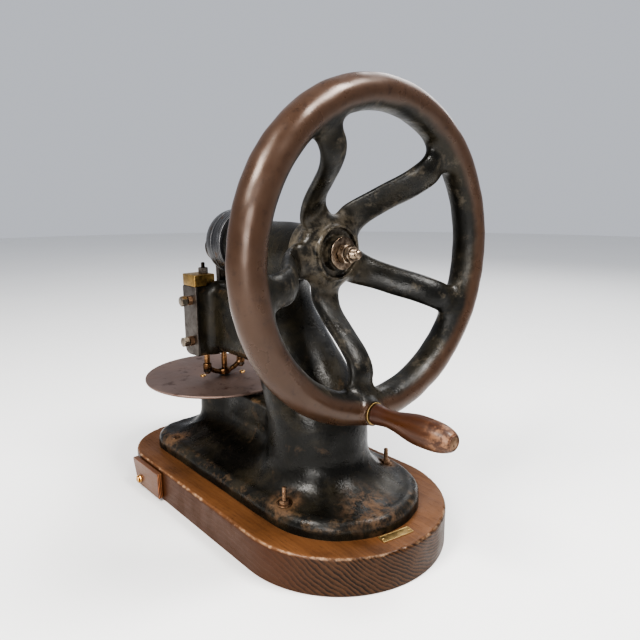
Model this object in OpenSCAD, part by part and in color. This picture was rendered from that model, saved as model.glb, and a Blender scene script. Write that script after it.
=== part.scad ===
// Hand-cranked bench punching machine on a wooden base.
// +X runs along the shaft towards the flywheel, -Y is the operator's side, +Z is up.
// The origin is on the surface that the base stands on, under the middle of the whole machine.

/* [Base] */
// Width of the wooden base
base_w = 290; // [280:2:300]
// Thickness of the wooden base
base_t = 49; // [46:1:52]
// Corner radius at the table end of the base
base_corner_r = 90; // [80:2:100]
// Centre of the round end of the base
base_arc_x = 102.5; // [100:0.5:105]
// Centre of the two corners at the table end
base_corner_x = -186.5; // [-190:0.5:-184]

/* [Casting] */
// How far the iron flange stays inside the edge of the base
flange_margin = 35; // [32:1:38]
// Thickness of the iron flange
flange_t = 22; // [20:1:24]
// Radius of the column
column_r = 68; // [64:1:70]
// Place of the column along the shaft
column_x = 64.5; // [62:0.5:66]
// Radius of the leaning neck at its top
neck_r = 50; // [46:1:54]
// Place of the top of the neck along the shaft
neck_x = -34.5; // [-38:0.5:-30]
// Radius of the bearing tube
tube_r = 34; // [32:1:36]

/* [Shaft] */
// Height of the shaft above the ground
shaft_z = 377; // [374:1:380]
// Radius of the shaft in its bushes
shaft_r = 16; // [14:0.5:17]
// Throw of the crank pin, half of the ram's stroke
crank_throw = 4; // [3:0.5:4]
// Radius of the crank disc
crank_disc_r = 49; // [46:1:50]

/* [Flywheel] */
// Outer diameter of the flywheel
wheel_d = 400; // [380:2:400]
// Place of the middle of the rim along the shaft
wheel_x = 168.5; // [166:0.5:170]
// Thickness of the rim along the radius
rim_h = 39; // [36:1:40]
// Width of the rim along the shaft
rim_w = 44; // [42:1:46]
// Number of spokes
spoke_count = 5; // [4:1:6]
// Half of the width of a spoke
spoke_half_w = 18; // [14:1:19]
// How far the hub sits behind the rim
wheel_dish = 79; // [76:1:80]

/* [Handle] */
// Distance from the shaft to the handle
handle_r = 180; // [178:1:182]
// Largest radius of the grip
grip_r = 16.8; // [16:0.1:18]
// Distance from the middle of the rim to the end of the grip
handle_reach = 138; // [130:1:138]

/* [Head] */
// Distance of the ram from the origin, along the shaft
ram_x = -171.5; // [-173:0.5:-170]
// Depth of the head along the shaft
head_l = 40; // [38:1:42]
// Half of the width of the head casting
head_half_w = 54; // [52:1:56]
// Height of the underside of the head
head_z0 = 197; // [196:1:199]
// Height of the top of the head
head_z1 = 309; // [307:1:310]
// Distance of the two foot rods from the ram
foot_rod_y = 32; // [31:0.5:33]

/* [Table] */
// Radius of the round table
table_r = 121; // [115:1:121]
// Place of the table's centre along the shaft
table_x = -185.5; // [-186:0.5:-184]
// Height of the table's top
table_z = 155; // [154:0.5:156]

/* [Drawer] */
// Width of the drawer front at its top
drawer_w = 85; // [80:1:88]
// How far the drawer front's lower corner is set in by its slanted end
drawer_slant = 14; // [10:1:16]

/* [Hidden] */
$fn = 96;
// Radial gap in fitted joints that don't move, and in joints that run
fit = 0.04;
run = 0.06;

base_top = base_t;
corner_y = base_w / 2 - base_corner_r;
flange_top = base_top + flange_t;
flange_edge_h = 12;
studs = [[base_arc_x + 4.5, -93], [base_arc_x + 12, 84]];
stud_r = 3;
stud_seat_z = flange_top;
stud_seat_r = 11;
screw_x = -170;
screw_y = 95;
screw_z0 = base_top - 6.5;

pedestal_r = 33;
collar_t = 4;
disc_t = 4;
pedestal_top = table_z - disc_t - collar_t;
spigot_r = 12;
spigot_l = 25;
collar_r = pedestal_r + 7;
table_screws_at = [[table_x - 3, -31], [table_x + 21, 30]];
table_screw_r = 2.5;
die_r = 9;
punch_r = 2.5;

column_top = 172;
neck_z = 300;
web_half = 20;
arm_half = 32;
arm_rise = 9;
heel_rise = 3;
tube_x0 = -89.5;
tube_x1 = 48.5;
tube_flange_r = 46;
tube_flange_l = 23;
bush_r = 21;
bush_l = 44;
bush_flange_r = 26;
bush_flange_t = 1.5;
front_flange_t = 3.5;

crank_disc_x1 = tube_x0 - front_flange_t - 0.5;
crank_disc_x0 = ram_x + 23.5;
crank_disc_cyl_x = crank_disc_x0 + 26;
crank_face_r = 25;
seat_r = 13;
crank_pin_r = 7;
crank_pin_z = shaft_z - crank_throw;

hub_x0 = tube_x1 + bush_flange_t + 0.5;
hub_x1 = 98.5;
hub_r = 40;
hub_ring_x = 106;
hub_ring_r = 34.5;
hub_recess_r = 30.5;
hub_boss_x = 111;
hub_boss_r = 22;
thread_r = 6.5;
washer_t = 3;
washer_r = 20.4;
hub_nut_t = 9.5;
hub_nut_flats = 22;
lock_nut_t = 6.5;
lock_nut_flats = 19;
tip_x = 142;
tip_l = 6;
key_w = 7;
key_l = 32;

spoke_angle0 = 46;
spoke_half_t = 9;
handle_angle = spoke_angle0 + 3 * 72;
handle_y = handle_r * cos(handle_angle);
handle_z = shaft_z + handle_r * sin(handle_angle);
boss_x1 = wheel_x + rim_w / 2 + 3;
handle_washer_t = 1.5;
grip_x0 = boss_x1 + handle_washer_t + 0.3;
grip_x1 = wheel_x + handle_reach;
spindle_r = 4.5;
spindle_head_r = 7.5;
spindle_head_t = 3;
spindle_x1 = grip_x1 - 0.5;

head_x1 = ram_x + head_l / 2;
plate_t = 4;
cap_t = 18;
cap_y0 = 25;
cap_y1 = head_half_w + plate_t;
plate_screw_x = ram_x + 5;
plate_screw_z = [223, 288];

slide_l = 26;
slide_w = 32;
slide_h = 70;
slide_z0 = 218;
channel_z0 = 212;
wrist_z = 260;
wrist_pin_r = 4;
pitman_w = 14;
pitman_t = 12;
eye_r = 23.5;
eye_drop = 6.5;
stroke = 2 * crank_throw;
ram_rod_r = 4.5;
ram_rod_z0 = 163;
ram_rod_z1 = slide_z0 + 16;
punch_z0 = table_z - 2;
punch_z1 = 183;

foot_rod_r = 4.5;
foot_stem_r = 3;
foot_z0 = 163.5;
foot_top = 344;
rod_collar_r = 7.8;
rod_collar_z = [246, 250];
pocket_r = 9;
pocket_z = 240;
plug_l = 6;
spring_r = 6.4;
wire_r = 0.7;
spring_turns = 8;
bow_r = 43.6;
bow_z = 161;
bow_t = 8;
bow_w = 8;
foot_ring_r = 8.7;
foot_ring_h = 9;
foot_ring_z = 157;
foot_boss_z = [171, 181];
foot_boss_r = 6.6;
foot_nut_t = 5;

drawer_x0 = -206;
drawer_front_t = 7.5;
drawer_front_y = -base_w / 2 - 0.5;
drawer_front_z = [4.5, 44];
tray_w = 64;
tray_l = 82;
tray_h = 27;
tray_wall = 4;
tray_z0 = 8.5;
tray_gap = 0.8;
tray_x = drawer_x0 + 46.5;
knob_x = drawer_x0 + 23;
knob_z = 14.5;

plate_mark_x = 220;
plate_mark_y = -12;
plate_mark_size = [13, 45, 1];
plate_mark_turn = -10;

// Outline of the base, drawn in by a margin all round
module base_outline(margin) {
    half = base_w / 2 - margin;
    corner = base_corner_r - margin;
    translate([base_arc_x, 0])
        circle(r = half);
    translate([base_corner_x, -half])
        square([base_arc_x - base_corner_x, 2 * half]);
    translate([base_corner_x - corner, -corner_y])
        square([corner + 1, 2 * corner_y]);
    for (side = [-1, 1])
        translate([base_corner_x, side * corner_y])
            circle(r = corner);
}

// A cylinder along +X from x0 to x1
module rod_x(x0, x1, r, y = 0, z = 0) {
    translate([x0, y, z])
        rotate([0, 90, 0])
            cylinder(r = r, h = x1 - x0);
}

// An upright cylinder from z0 to z1
module rod_z(z0, z1, r, x = 0, y = 0) {
    translate([x, y, z0])
        cylinder(r = r, h = z1 - z0);
}

// A box given by its middle in X and Y, its size there, and its two heights
module block(x, y, size_x, size_y, z0, z1) {
    translate([x - size_x / 2, y - size_y / 2, z0])
        cube([size_x, size_y, z1 - z0]);
}

// A hexagonal nut on an upright axis
module nut_z(z0, z1, flats, hole_r) {
    difference() {
        translate([0, 0, z0])
            cylinder(r = flats / sqrt(3), h = z1 - z0, $fn = 6);
        rod_z(z0 - 1, z1 + 1, hole_r);
    }
}

// Places its children at both studs
module at_studs() {
    for (p = studs)
        translate([p[0], p[1], 0])
            children();
}

// Places its children at both screws at the table end
module at_screws() {
    for (side = [-1, 1])
        translate([screw_x, side * screw_y, 0])
            children();
}

// Places its children at both table screws
module at_table_screws() {
    for (p = table_screws_at)
        translate([p[0], p[1], 0])
            children();
}

// Places its children at both foot rods
module at_foot_rods() {
    for (side = [-1, 1])
        translate([ram_x, side * foot_rod_y, 0])
            children();
}

module drawer_pocket() {
    translate([tray_x - tray_w / 2 - tray_gap, -base_w, tray_z0 - tray_gap])
        cube([tray_w + 2 * tray_gap, base_w / 2 + tray_l + 2 * tray_gap, tray_h + 2 * tray_gap]);
}

module wooden_base() {
    color("#6b3d20")
        difference() {
            linear_extrude(base_top)
                base_outline(0);
            drawer_pocket();
            at_studs()
                rod_z(12, base_top + 1, stud_r + fit);
            at_screws()
                rod_z(screw_z0 - 1, base_top + 1, stud_r + fit);
        }
}

// Flange, its rounded shoulder and the low dome that rises to the column
module flange() {
    translate([0, 0, base_top])
        linear_extrude(flange_edge_h)
            base_outline(flange_margin);
    hull($fn = 32) {
        translate([0, 0, base_top + flange_edge_h - 0.1])
            linear_extrude(0.1)
                base_outline(flange_margin, $fn = 32);
        translate([0, 0, flange_top - 5])
            linear_extrude(0.1)
                base_outline(flange_margin + 4, $fn = 32);
        translate([0, 0, flange_top - 0.1])
            linear_extrude(0.1)
                base_outline(flange_margin + 14, $fn = 32);
    }
    hull($fn = 32) {
        translate([0, 0, flange_top - 0.2])
            linear_extrude(0.1)
                base_outline(flange_margin + 16, $fn = 32);
        rod_z(flange_top, flange_top + 12, column_r + 18, column_x, $fn = 32);
        rod_z(flange_top, flange_top + 10, pedestal_r + 16, table_x, $fn = 32);
    }
}

// Column, pedestal under the table, and the wall between them
module column() {
    rod_z(flange_top, column_top, column_r, column_x);
    translate([column_x, 0, flange_top + 3])
        cylinder(r1 = column_r + 26, r2 = column_r, h = 30);
    rod_z(flange_top, pedestal_top, pedestal_r, table_x);
    translate([table_x, 0, flange_top + 3])
        cylinder(r1 = pedestal_r + 20, r2 = pedestal_r, h = 22);
    translate([table_x, -web_half, flange_top])
        cube([column_x - table_x, 2 * web_half, pedestal_top - flange_top - 1]);
}

// Neck that leans from the column towards the head, and its spread under the tube
module neck() {
    hull($fn = 32) {
        rod_z(column_top - 1, column_top, column_r, column_x, $fn = 32);
        rod_z(neck_z - 1, neck_z, neck_r, neck_x, $fn = 32);
    }
    hull($fn = 32) {
        rod_z(neck_z - 1, neck_z, neck_r, neck_x, $fn = 32);
        block((tube_x0 + tube_x1) / 2 + 6, 0, tube_x1 - tube_x0 - 26, 2 * tube_r - 16, shaft_z - 1, shaft_z);
    }
    rod_x(tube_x0, tube_x1, tube_r, 0, shaft_z);
    rod_x(tube_x0, tube_x0 + tube_flange_l, tube_flange_r, 0, shaft_z);
}

// Arm and head box over the table; the head's heel towards the arm is a little higher
module arm() {
    block(ram_x, 0, head_l, 2 * head_half_w, head_z0 + heel_rise, head_z1);
    block(ram_x - head_l / 4, 0, head_l / 2, 2 * head_half_w, head_z0, head_z1);
    translate([head_x1 - 1, -arm_half, head_z0 + arm_rise])
        cube([neck_x - head_x1, 2 * arm_half, head_z1 - head_z0 - arm_rise - 2]);
}

// Bores and pockets cut into the casting
module casting_cuts() {
    rod_x(tube_x0 - 1, tube_x1 + 1, bush_r + fit, 0, shaft_z);
    block(ram_x, 0, slide_l + 2 * run, slide_w + 2 * run, channel_z0, head_z1 + 1);
    rod_z(head_z0 - 1, channel_z0 + 1, ram_rod_r + run, ram_x);
    at_foot_rods() {
        rod_z(head_z0 - 1, pocket_z + 1, foot_rod_r + run);
        rod_z(pocket_z, head_z1 + 1, pocket_r + fit);
    }
    rod_z(pedestal_top - spigot_l - 1, pedestal_top + 1, spigot_r + fit, table_x);
    at_studs() {
        rod_z(base_top - 1, stud_seat_z + 1, stud_r + fit);
        rod_z(stud_seat_z, flange_top + 12, stud_seat_r);
    }
    at_screws() {
        rod_z(base_top - 1, flange_top, stud_r + fit);
        rod_z(flange_top - 2, flange_top + 12, 6.8);
    }
    for (z = plate_screw_z)
        translate([plate_screw_x, -head_half_w - 1, z])
            rotate([-90, 0, 0])
                cylinder(r = stud_r + fit, h = 12);
}

module frame_casting() {
    color("#1c1b18")
        difference() {
            union() {
                flange();
                column();
                neck();
                arm();
            }
            casting_cuts();
        }
}

module base_studs() {
    color("#6a4a36")
        at_studs()
            rod_z(14, stud_seat_z + 24, stud_r);
}

module base_washers() {
    color("#7a4a30")
        at_studs()
            difference() {
                rod_z(stud_seat_z, stud_seat_z + 1.4, 9);
                rod_z(stud_seat_z - 1, stud_seat_z + 3, stud_r + fit);
            }
}

module base_nuts() {
    color("#6e4630")
        at_studs()
            nut_z(stud_seat_z + 1.4, stud_seat_z + 6.4, 11, stud_r + fit);
}

module base_screws() {
    color("#5d4536")
        at_screws()
            difference() {
                union() {
                    rod_z(screw_z0, flange_top - 2, stud_r);
                    rod_z(flange_top - 2, flange_top + 1, 6.5);
                }
                block(0, 0, 14, 1.4, flange_top - 0.5, flange_top + 2);
            }
}

module nameplate() {
    color("#b08d4a")
        translate([plate_mark_x, plate_mark_y, base_top])
            rotate([0, 0, plate_mark_turn])
                difference() {
                    translate([-plate_mark_size[0] / 2, -plate_mark_size[1] / 2, 0])
                        cube(plate_mark_size);
                    for (side = [-1, 1])
                        rod_z(-1, 2, 0.8 + fit, 0, side * (plate_mark_size[1] / 2 - 3));
                }
}

module nameplate_pins() {
    color("#8c6d38")
        translate([plate_mark_x, plate_mark_y, base_top])
            rotate([0, 0, plate_mark_turn])
                for (side = [-1, 1])
                    translate([0, side * (plate_mark_size[1] / 2 - 3), 0]) {
                        rod_z(0, 1.1, 0.8);
                        rod_z(1.05, 1.8, 1.5);
                    }
}

// Flanged bearing bush along X; its flange, from flange_x0 to flange_x1, lies outside the tube
module bush(x0, x1, flange_x0, flange_x1) {
    difference() {
        union() {
            rod_x(x0, x1, bush_r, 0, shaft_z);
            rod_x(flange_x0, flange_x1, bush_flange_r, 0, shaft_z);
        }
        rod_x(x0 - 10, x1 + 10, shaft_r + run, 0, shaft_z);
    }
}

module front_bush() {
    color("#a5793a")
        bush(tube_x0, tube_x0 + bush_l, tube_x0 - front_flange_t, tube_x0);
}

module rear_bush() {
    color("#a5793a")
        bush(tube_x1 - bush_l, tube_x1, tube_x1, tube_x1 + bush_flange_t);
}

module table_disc() {
    color("#4b3833")
        difference() {
            rod_z(table_z - disc_t, table_z, table_r, table_x);
            rod_z(table_z - disc_t - 1, table_z + 1, die_r + fit, ram_x);
            at_table_screws()
                rod_z(table_z - disc_t - 1, table_z + 1, table_screw_r + fit);
        }
}

module table_collar() {
    color("#26211f")
        difference() {
            union() {
                rod_z(pedestal_top, table_z - disc_t, collar_r, table_x);
                rod_z(pedestal_top - spigot_l, pedestal_top + 1, spigot_r, table_x);
            }
            at_table_screws()
                rod_z(pedestal_top - 1, table_z, table_screw_r + fit);
        }
}

module table_screws() {
    color("#c08c4c")
        at_table_screws()
            difference() {
                union() {
                    rod_z(pedestal_top + 0.2, table_z, table_screw_r);
                    rod_z(table_z, table_z + 2.4, 4.7);
                }
                block(0, 0, 12, 1, table_z + 1.4, table_z + 3);
            }
}

module die_insert() {
    color("#77726c")
        difference() {
            rod_z(table_z - disc_t, table_z, die_r, ram_x);
            rod_z(table_z - disc_t - 1, table_z + 1, punch_r + 0.3, ram_x);
        }
}

module side_plate() {
    color("#8b8783")
        difference() {
            block(ram_x, -head_half_w - plate_t / 2, head_l, plate_t, head_z0 + 3, head_z1);
            for (z = plate_screw_z)
                translate([plate_screw_x, -head_half_w - plate_t - 1, z])
                    rotate([-90, 0, 0])
                        cylinder(r = stud_r + fit, h = plate_t + 2);
        }
}

// Places its children at both plate screws, with +Z pointing out of the plate
module at_plate_screws() {
    for (z = plate_screw_z)
        translate([plate_screw_x, -head_half_w - plate_t, z])
            rotate([90, 0, 0])
                children();
}

module plate_screws() {
    color("#8d8478")
        at_plate_screws() {
            rod_z(-plate_t - 10, 10, stud_r);
            rotate([0, 0, 12])
                rod_z(9, 18, 8, $fn = 6);
        }
}

module plate_locknuts() {
    color("#6b4a30")
        at_plate_screws()
            nut_z(0, 7, 13, stud_r + fit);
}

// Brass cap that closes a spring pocket; side is -1 for the operator's side
module cap(side) {
    difference() {
        union() {
            block(ram_x, side * (cap_y0 + cap_y1) / 2, head_l - 3, cap_y1 - cap_y0, head_z1, head_z1 + cap_t);
            rod_z(head_z1 - plug_l, head_z1 + 1, pocket_r, ram_x, side * foot_rod_y);
        }
        rod_z(head_z1 - plug_l - 1, head_z1 + cap_t + 1, foot_stem_r + run, ram_x, side * foot_rod_y);
    }
}

module operator_cap() {
    color("#a67c3d")
        cap(-1);
}

module rear_cap() {
    color("#a67c3d")
        cap(1);
}

module shaft() {
    color("#8a8178")
        difference() {
            union() {
                rod_x(crank_disc_x1, hub_x0 - 0.2, shaft_r, 0, shaft_z);
                rod_x(crank_disc_x0 + 6, crank_disc_x1, seat_r, 0, shaft_z);
                rod_x(hub_x0 - 0.2, hub_boss_x - 0.5, seat_r, 0, shaft_z);
                rod_x(hub_boss_x - 0.5, tip_x - tip_l, thread_r, 0, shaft_z);
                translate([tip_x - tip_l, 0, shaft_z])
                    rotate([0, 90, 0])
                        cylinder(r1 = thread_r, r2 = 3.5, h = tip_l);
            }
            rod_z(shaft_z - seat_r - 1, shaft_z + seat_r + 1, 2.5 + fit, (crank_disc_x0 + crank_disc_x1) / 2);
            translate([hub_x0 + 8, -key_w / 2 - fit, shaft_z + seat_r - key_w / 2])
                cube([key_l + 0.2, key_w + 2 * fit, key_w]);
        }
}

// Drum-shaped crank disc with a rounded face on the ram's side
module crank_disc() {
    round_l = crank_disc_cyl_x - crank_disc_x0;
    color("#20232a")
        difference() {
            translate([0, 0, shaft_z])
                rotate([0, 90, 0])
                    rotate_extrude()
                        polygon([
                            [0, crank_disc_x0],
                            for (a = [0:10:90])
                                [
                                    crank_face_r + (crank_disc_r - crank_face_r) * sin(a),
                                    crank_disc_cyl_x - round_l * cos(a)
                                ],
                            [crank_disc_r, crank_disc_x1],
                            [0, crank_disc_x1]
                        ]);
            rod_x(crank_disc_x0 + 5.8, crank_disc_x1 + 1, seat_r + fit, 0, shaft_z);
            rod_x(crank_disc_x0 - 1, crank_disc_x0 + 5.4, crank_pin_r + fit, 0, crank_pin_z);
            rod_z(
                shaft_z - crank_disc_r - 1, shaft_z + crank_disc_r + 1, 2.5 + fit,
                (crank_disc_x0 + crank_disc_x1) / 2
            );
        }
}

module crank_disc_pin() {
    color("#6f6a63")
        rod_z(
            shaft_z - crank_disc_r + 2, shaft_z + crank_disc_r - 2, 2.5,
            (crank_disc_x0 + crank_disc_x1) / 2
        );
}

module crank_pin() {
    color("#8a8178") {
        rod_x(ram_x - pitman_t / 2 - 0.5, crank_disc_x0 + 5.2, crank_pin_r, 0, crank_pin_z);
        rod_x(ram_x + pitman_t / 2 + 0.3, crank_disc_x0, crank_pin_r + 3, 0, crank_pin_z);
        rod_x(ram_x - pitman_t / 2 - 4.5, ram_x - pitman_t / 2 - 0.4, crank_pin_r + 3, 0, crank_pin_z);
    }
}

module shaft_key() {
    color("#77726c")
        translate([hub_x0 + 8.1, -key_w / 2, shaft_z + seat_r - key_w / 2 + fit])
            cube([key_l, key_w, key_w - 1]);
}

// Distance of a spoke's middle behind the rim, at radius r: a smooth double bend
function dish(r) =
    let (t = min(1, max(0, (r - 50) / 92)))
    -3 - wheel_dish * (1 - t * t * (3 - 2 * t));

// One spoke, drawn along +Y from inside the hub into the rim
module spoke() {
    steps = 17;
    r0 = 34;
    r_step = 8;
    translate([wheel_x, 0, -spoke_half_w])
        linear_extrude(2 * spoke_half_w)
            polygon([
                for (i = [0:steps]) [dish(r0 + r_step * i) + spoke_half_t, r0 + r_step * i],
                for (i = [steps:-1:0]) [dish(r0 + r_step * i) - spoke_half_t, r0 + r_step * i]
            ]);
}

// Rim of oval section, hub, spokes and the boss that carries the handle
module flywheel() {
    color("#37261d")
        difference() {
            union() {
                translate([wheel_x, 0, shaft_z])
                    rotate([0, 90, 0])
                        rotate_extrude()
                            polygon([
                                for (a = [0:15:345])
                                    [wheel_d / 2 - rim_h / 2 * (1 - cos(a)), rim_w / 2 * sin(a)]
                            ]);
                rod_x(hub_x0, hub_x1, hub_r, 0, shaft_z);
                rod_x(hub_x0, hub_ring_x, hub_ring_r, 0, shaft_z);
                rod_x(hub_x0, hub_boss_x, hub_boss_r, 0, shaft_z);
                for (i = [0:spoke_count - 1])
                    translate([0, 0, shaft_z])
                        rotate([spoke_angle0 + i * 360 / spoke_count, 0, 0])
                            spoke();
                rod_x(wheel_x, boss_x1, 15, handle_y, handle_z);
            }
            rod_x(hub_x0 - 1, hub_boss_x + 1, seat_r + fit, 0, shaft_z);
            difference() {
                rod_x(hub_x1, hub_ring_x + 1, hub_recess_r, 0, shaft_z);
                rod_x(hub_x1 - 1, hub_ring_x + 2, hub_boss_r, 0, shaft_z);
            }
            translate([hub_x0 - 1, -key_w / 2 - fit, shaft_z])
                cube([key_l + 10, key_w + 2 * fit, seat_r + key_w / 2]);
            rod_x(wheel_x - 14, boss_x1 + 1, spindle_r + fit, handle_y, handle_z);
        }
}

module hub_washer() {
    color("#7d6f5f")
        difference() {
            rod_x(hub_boss_x, hub_boss_x + washer_t, washer_r, 0, shaft_z);
            rod_x(hub_boss_x - 1, hub_boss_x + washer_t + 1, thread_r + fit, 0, shaft_z);
        }
}

// A hexagonal nut on the shaft's thread
module shaft_nut(x0, thickness, flats) {
    translate([x0, 0, shaft_z])
        rotate([0, 90, 0])
            nut_z(0, thickness, flats, thread_r + fit);
}

module hub_nut() {
    color("#7d6f5f")
        shaft_nut(hub_boss_x + washer_t, hub_nut_t, hub_nut_flats);
}

module lock_nut() {
    color("#8d8072")
        shaft_nut(hub_boss_x + washer_t + hub_nut_t + 0.5, lock_nut_t, lock_nut_flats);
}

module handle_spindle() {
    color("#6f5a48") {
        rod_x(wheel_x - 13, spindle_x1 - 1, spindle_r, handle_y, handle_z);
        rod_x(spindle_x1 - spindle_head_t, spindle_x1, spindle_head_r, handle_y, handle_z);
    }
}

module handle_washer() {
    color("#a08a68")
        difference() {
            rod_x(boss_x1, boss_x1 + handle_washer_t, 13.5, handle_y, handle_z);
            rod_x(boss_x1 - 1, boss_x1 + 3, spindle_r + fit, handle_y, handle_z);
        }
}

// Radius of the turned grip at a fraction t of its length: root, neck, swell and round end
function grip_radius(t) =
    t < 0.18 ? 10.5 + 2 * pow(cos(90 * t / 0.18), 2) :
    t < 0.62 ? 10.5 + (grip_r - 10.5) * pow(sin(90 * (t - 0.18) / 0.44), 2) :
    grip_r * sqrt(1 - 0.74 * pow((t - 0.62) / 0.38, 3));

module handle_grip() {
    length = grip_x1 - grip_x0;
    steps = 24;
    color("#5e2f18")
        difference() {
            translate([grip_x0, handle_y, handle_z])
                rotate([0, 90, 0])
                    rotate_extrude()
                        polygon([
                            [0, 0],
                            for (i = [0:steps]) [grip_radius(i / steps), length * i / steps],
                            [0, length]
                        ]);
            rod_x(grip_x0 - 1, spindle_x1 - 1, spindle_r + run, handle_y, handle_z);
            rod_x(spindle_x1 - spindle_head_t - 0.4, grip_x1 + 1, spindle_head_r + 0.3, handle_y, handle_z);
        }
}

// Link from the crank pin down to the wrist pin, with a large eye that hangs below the crank pin
module pitman() {
    color("#2c2620")
        difference() {
            union() {
                rod_x(ram_x - pitman_t / 2, ram_x + pitman_t / 2, eye_r, 0, crank_pin_z - eye_drop);
                block(ram_x, 0, pitman_t, pitman_w, wrist_z, crank_pin_z);
                rod_x(ram_x - pitman_t / 2, ram_x + pitman_t / 2, pitman_w / 2, 0, wrist_z);
            }
            rod_x(ram_x - pitman_t, ram_x + pitman_t, crank_pin_r + run, 0, crank_pin_z);
            rod_x(ram_x - pitman_t, ram_x + pitman_t, wrist_pin_r + fit, 0, wrist_z);
        }
}

module wrist_pin() {
    color("#77726c")
        rod_x(ram_x - slide_l / 2 + 1, ram_x + slide_l / 2 - 1, wrist_pin_r, 0, wrist_z);
}

// Sliding block in the head; its pocket and windows leave room for the pitman's whole path
module ram_slide() {
    room = 0.4;
    side_room = crank_throw + room;
    color("#6f6a63")
        difference() {
            block(ram_x, 0, slide_l, slide_w, slide_z0, slide_z0 + slide_h);
            block(
                ram_x, 0, pitman_t + 1, pitman_w + 2 * side_room,
                wrist_z - pitman_w / 2 - stroke - 1, slide_z0 + slide_h + 1
            );
            block(
                ram_x, 0, slide_l + 2, 2 * (wrist_pin_r + side_room),
                wrist_z - wrist_pin_r - stroke - room, wrist_z + wrist_pin_r + stroke + room
            );
            rod_z(slide_z0 - 1, ram_rod_z1 + 0.2, ram_rod_r + fit, ram_x);
        }
}

module ram_rod() {
    color("#9a6a42")
        difference() {
            rod_z(ram_rod_z0, ram_rod_z1, ram_rod_r, ram_x);
            rod_z(ram_rod_z0 - 1, punch_z1 + 0.2, punch_r + fit, ram_x);
        }
}

module punch() {
    color("#8b8783")
        rod_z(punch_z0, punch_z1, punch_r, ram_x);
}

module foot_rods() {
    color("#8f6034")
        at_foot_rods() {
            rod_z(foot_z0, rod_collar_z[0] + 1, foot_rod_r);
            rod_z(rod_collar_z[0], rod_collar_z[1], rod_collar_r);
            rod_z(rod_collar_z[1] - 1, foot_top, foot_stem_r);
        }
}

// Bow-shaped foot: an arc between the two rods with a ring round the ram rod
module foot_yoke() {
    color("#7a4a2a")
        difference() {
            union() {
                translate([ram_x - bow_w / 2, 0, bow_z + bow_r])
                    rotate([90, 0, 90])
                        linear_extrude(bow_w)
                            intersection() {
                                difference() {
                                    circle(r = bow_r + bow_t / 2);
                                    circle(r = bow_r - bow_t / 2);
                                }
                                translate([-foot_rod_y, -2 * bow_r])
                                    square([2 * foot_rod_y, 2 * bow_r]);
                            }
                at_foot_rods()
                    rod_z(foot_boss_z[0], foot_boss_z[1], foot_boss_r);
                rod_z(foot_ring_z, foot_ring_z + foot_ring_h, foot_ring_r, ram_x);
            }
            rod_z(foot_ring_z - 1, foot_ring_z + foot_ring_h + 1, ram_rod_r + 0.7, ram_x);
            at_foot_rods() {
                rod_z(foot_ring_z - 1, foot_boss_z[0], foot_boss_r + 0.4);
                rod_z(foot_boss_z[0] - 1, foot_boss_z[1] + 1, foot_rod_r + fit);
            }
        }
}

module foot_nuts() {
    color("#5c4028")
        at_foot_rods()
            nut_z(foot_boss_z[0] - foot_nut_t, foot_boss_z[0], 11, foot_rod_r + fit);
}

module rod_top_nuts() {
    color("#a08a68")
        at_foot_rods()
            nut_z(head_z1 + cap_t, head_z1 + cap_t + 9, 13, foot_stem_r + fit);
}

// A coil spring: a round wire swept along a helix by computed rings
module coil(coil_r, r_wire, turns, z0, z1) {
    per_turn = 12;
    sides = 6;
    rings = turns * per_turn;
    function ring(i) = [
        for (k = [0:sides - 1])
            let (a = 360 * i / per_turn, b = 360 * k / sides, r = coil_r + r_wire * cos(b))
            [r * cos(a), r * sin(a), z0 + r_wire + (z1 - z0 - 2 * r_wire) * i / rings + r_wire * sin(b)]
    ];
    points = [for (i = [0:rings]) each ring(i)];
    walls = [
        for (i = [0:rings - 1])
            for (k = [0:sides - 1])
                let (n = (k + 1) % sides)
                [i * sides + k, i * sides + n, (i + 1) * sides + n, (i + 1) * sides + k]
    ];
    start = [for (k = [sides - 1:-1:0]) k];
    end = [for (k = [0:sides - 1]) rings * sides + k];
    polyhedron(points, concat(walls, [start, end]));
}

module foot_springs() {
    color("#5a5650")
        at_foot_rods()
            coil(spring_r, wire_r, spring_turns, rod_collar_z[1], head_z1 - plug_l);
}

module drawer_tray() {
    color("#7a4e2c")
        difference() {
            translate([tray_x - tray_w / 2, drawer_front_y, tray_z0])
                cube([tray_w, tray_l, tray_h]);
            translate([tray_x - tray_w / 2 + tray_wall, drawer_front_y + tray_wall, tray_z0 + tray_wall])
                cube([tray_w - 2 * tray_wall, tray_l - 2 * tray_wall, tray_h]);
        }
}

// Front board of the drawer; its end away from the flywheel is slanted
module drawer_front() {
    color("#4d2c18")
        difference() {
            translate([0, drawer_front_y, 0])
                rotate([90, 0, 0])
                    linear_extrude(drawer_front_t)
                        polygon([
                            [drawer_x0, drawer_front_z[1]],
                            [drawer_x0 + drawer_slant, drawer_front_z[0]],
                            [drawer_x0 + drawer_w, drawer_front_z[0]],
                            [drawer_x0 + drawer_w, drawer_front_z[1]]
                        ]);
            translate([knob_x, drawer_front_y + 1, knob_z])
                rotate([90, 0, 0])
                    cylinder(r = 2 + fit, h = drawer_front_t + 2);
        }
}

module drawer_knob() {
    color("#b8935a")
        translate([knob_x, drawer_front_y - 1, knob_z])
            rotate([90, 0, 0]) {
                rod_z(0, drawer_front_t + 1, 2);
                translate([0, 0, drawer_front_t - 1])
                    cylinder(r1 = 4, r2 = 5.2, h = 3);
                translate([0, 0, drawer_front_t + 2])
                    cylinder(r1 = 5.2, r2 = 3, h = 2);
            }
}

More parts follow.
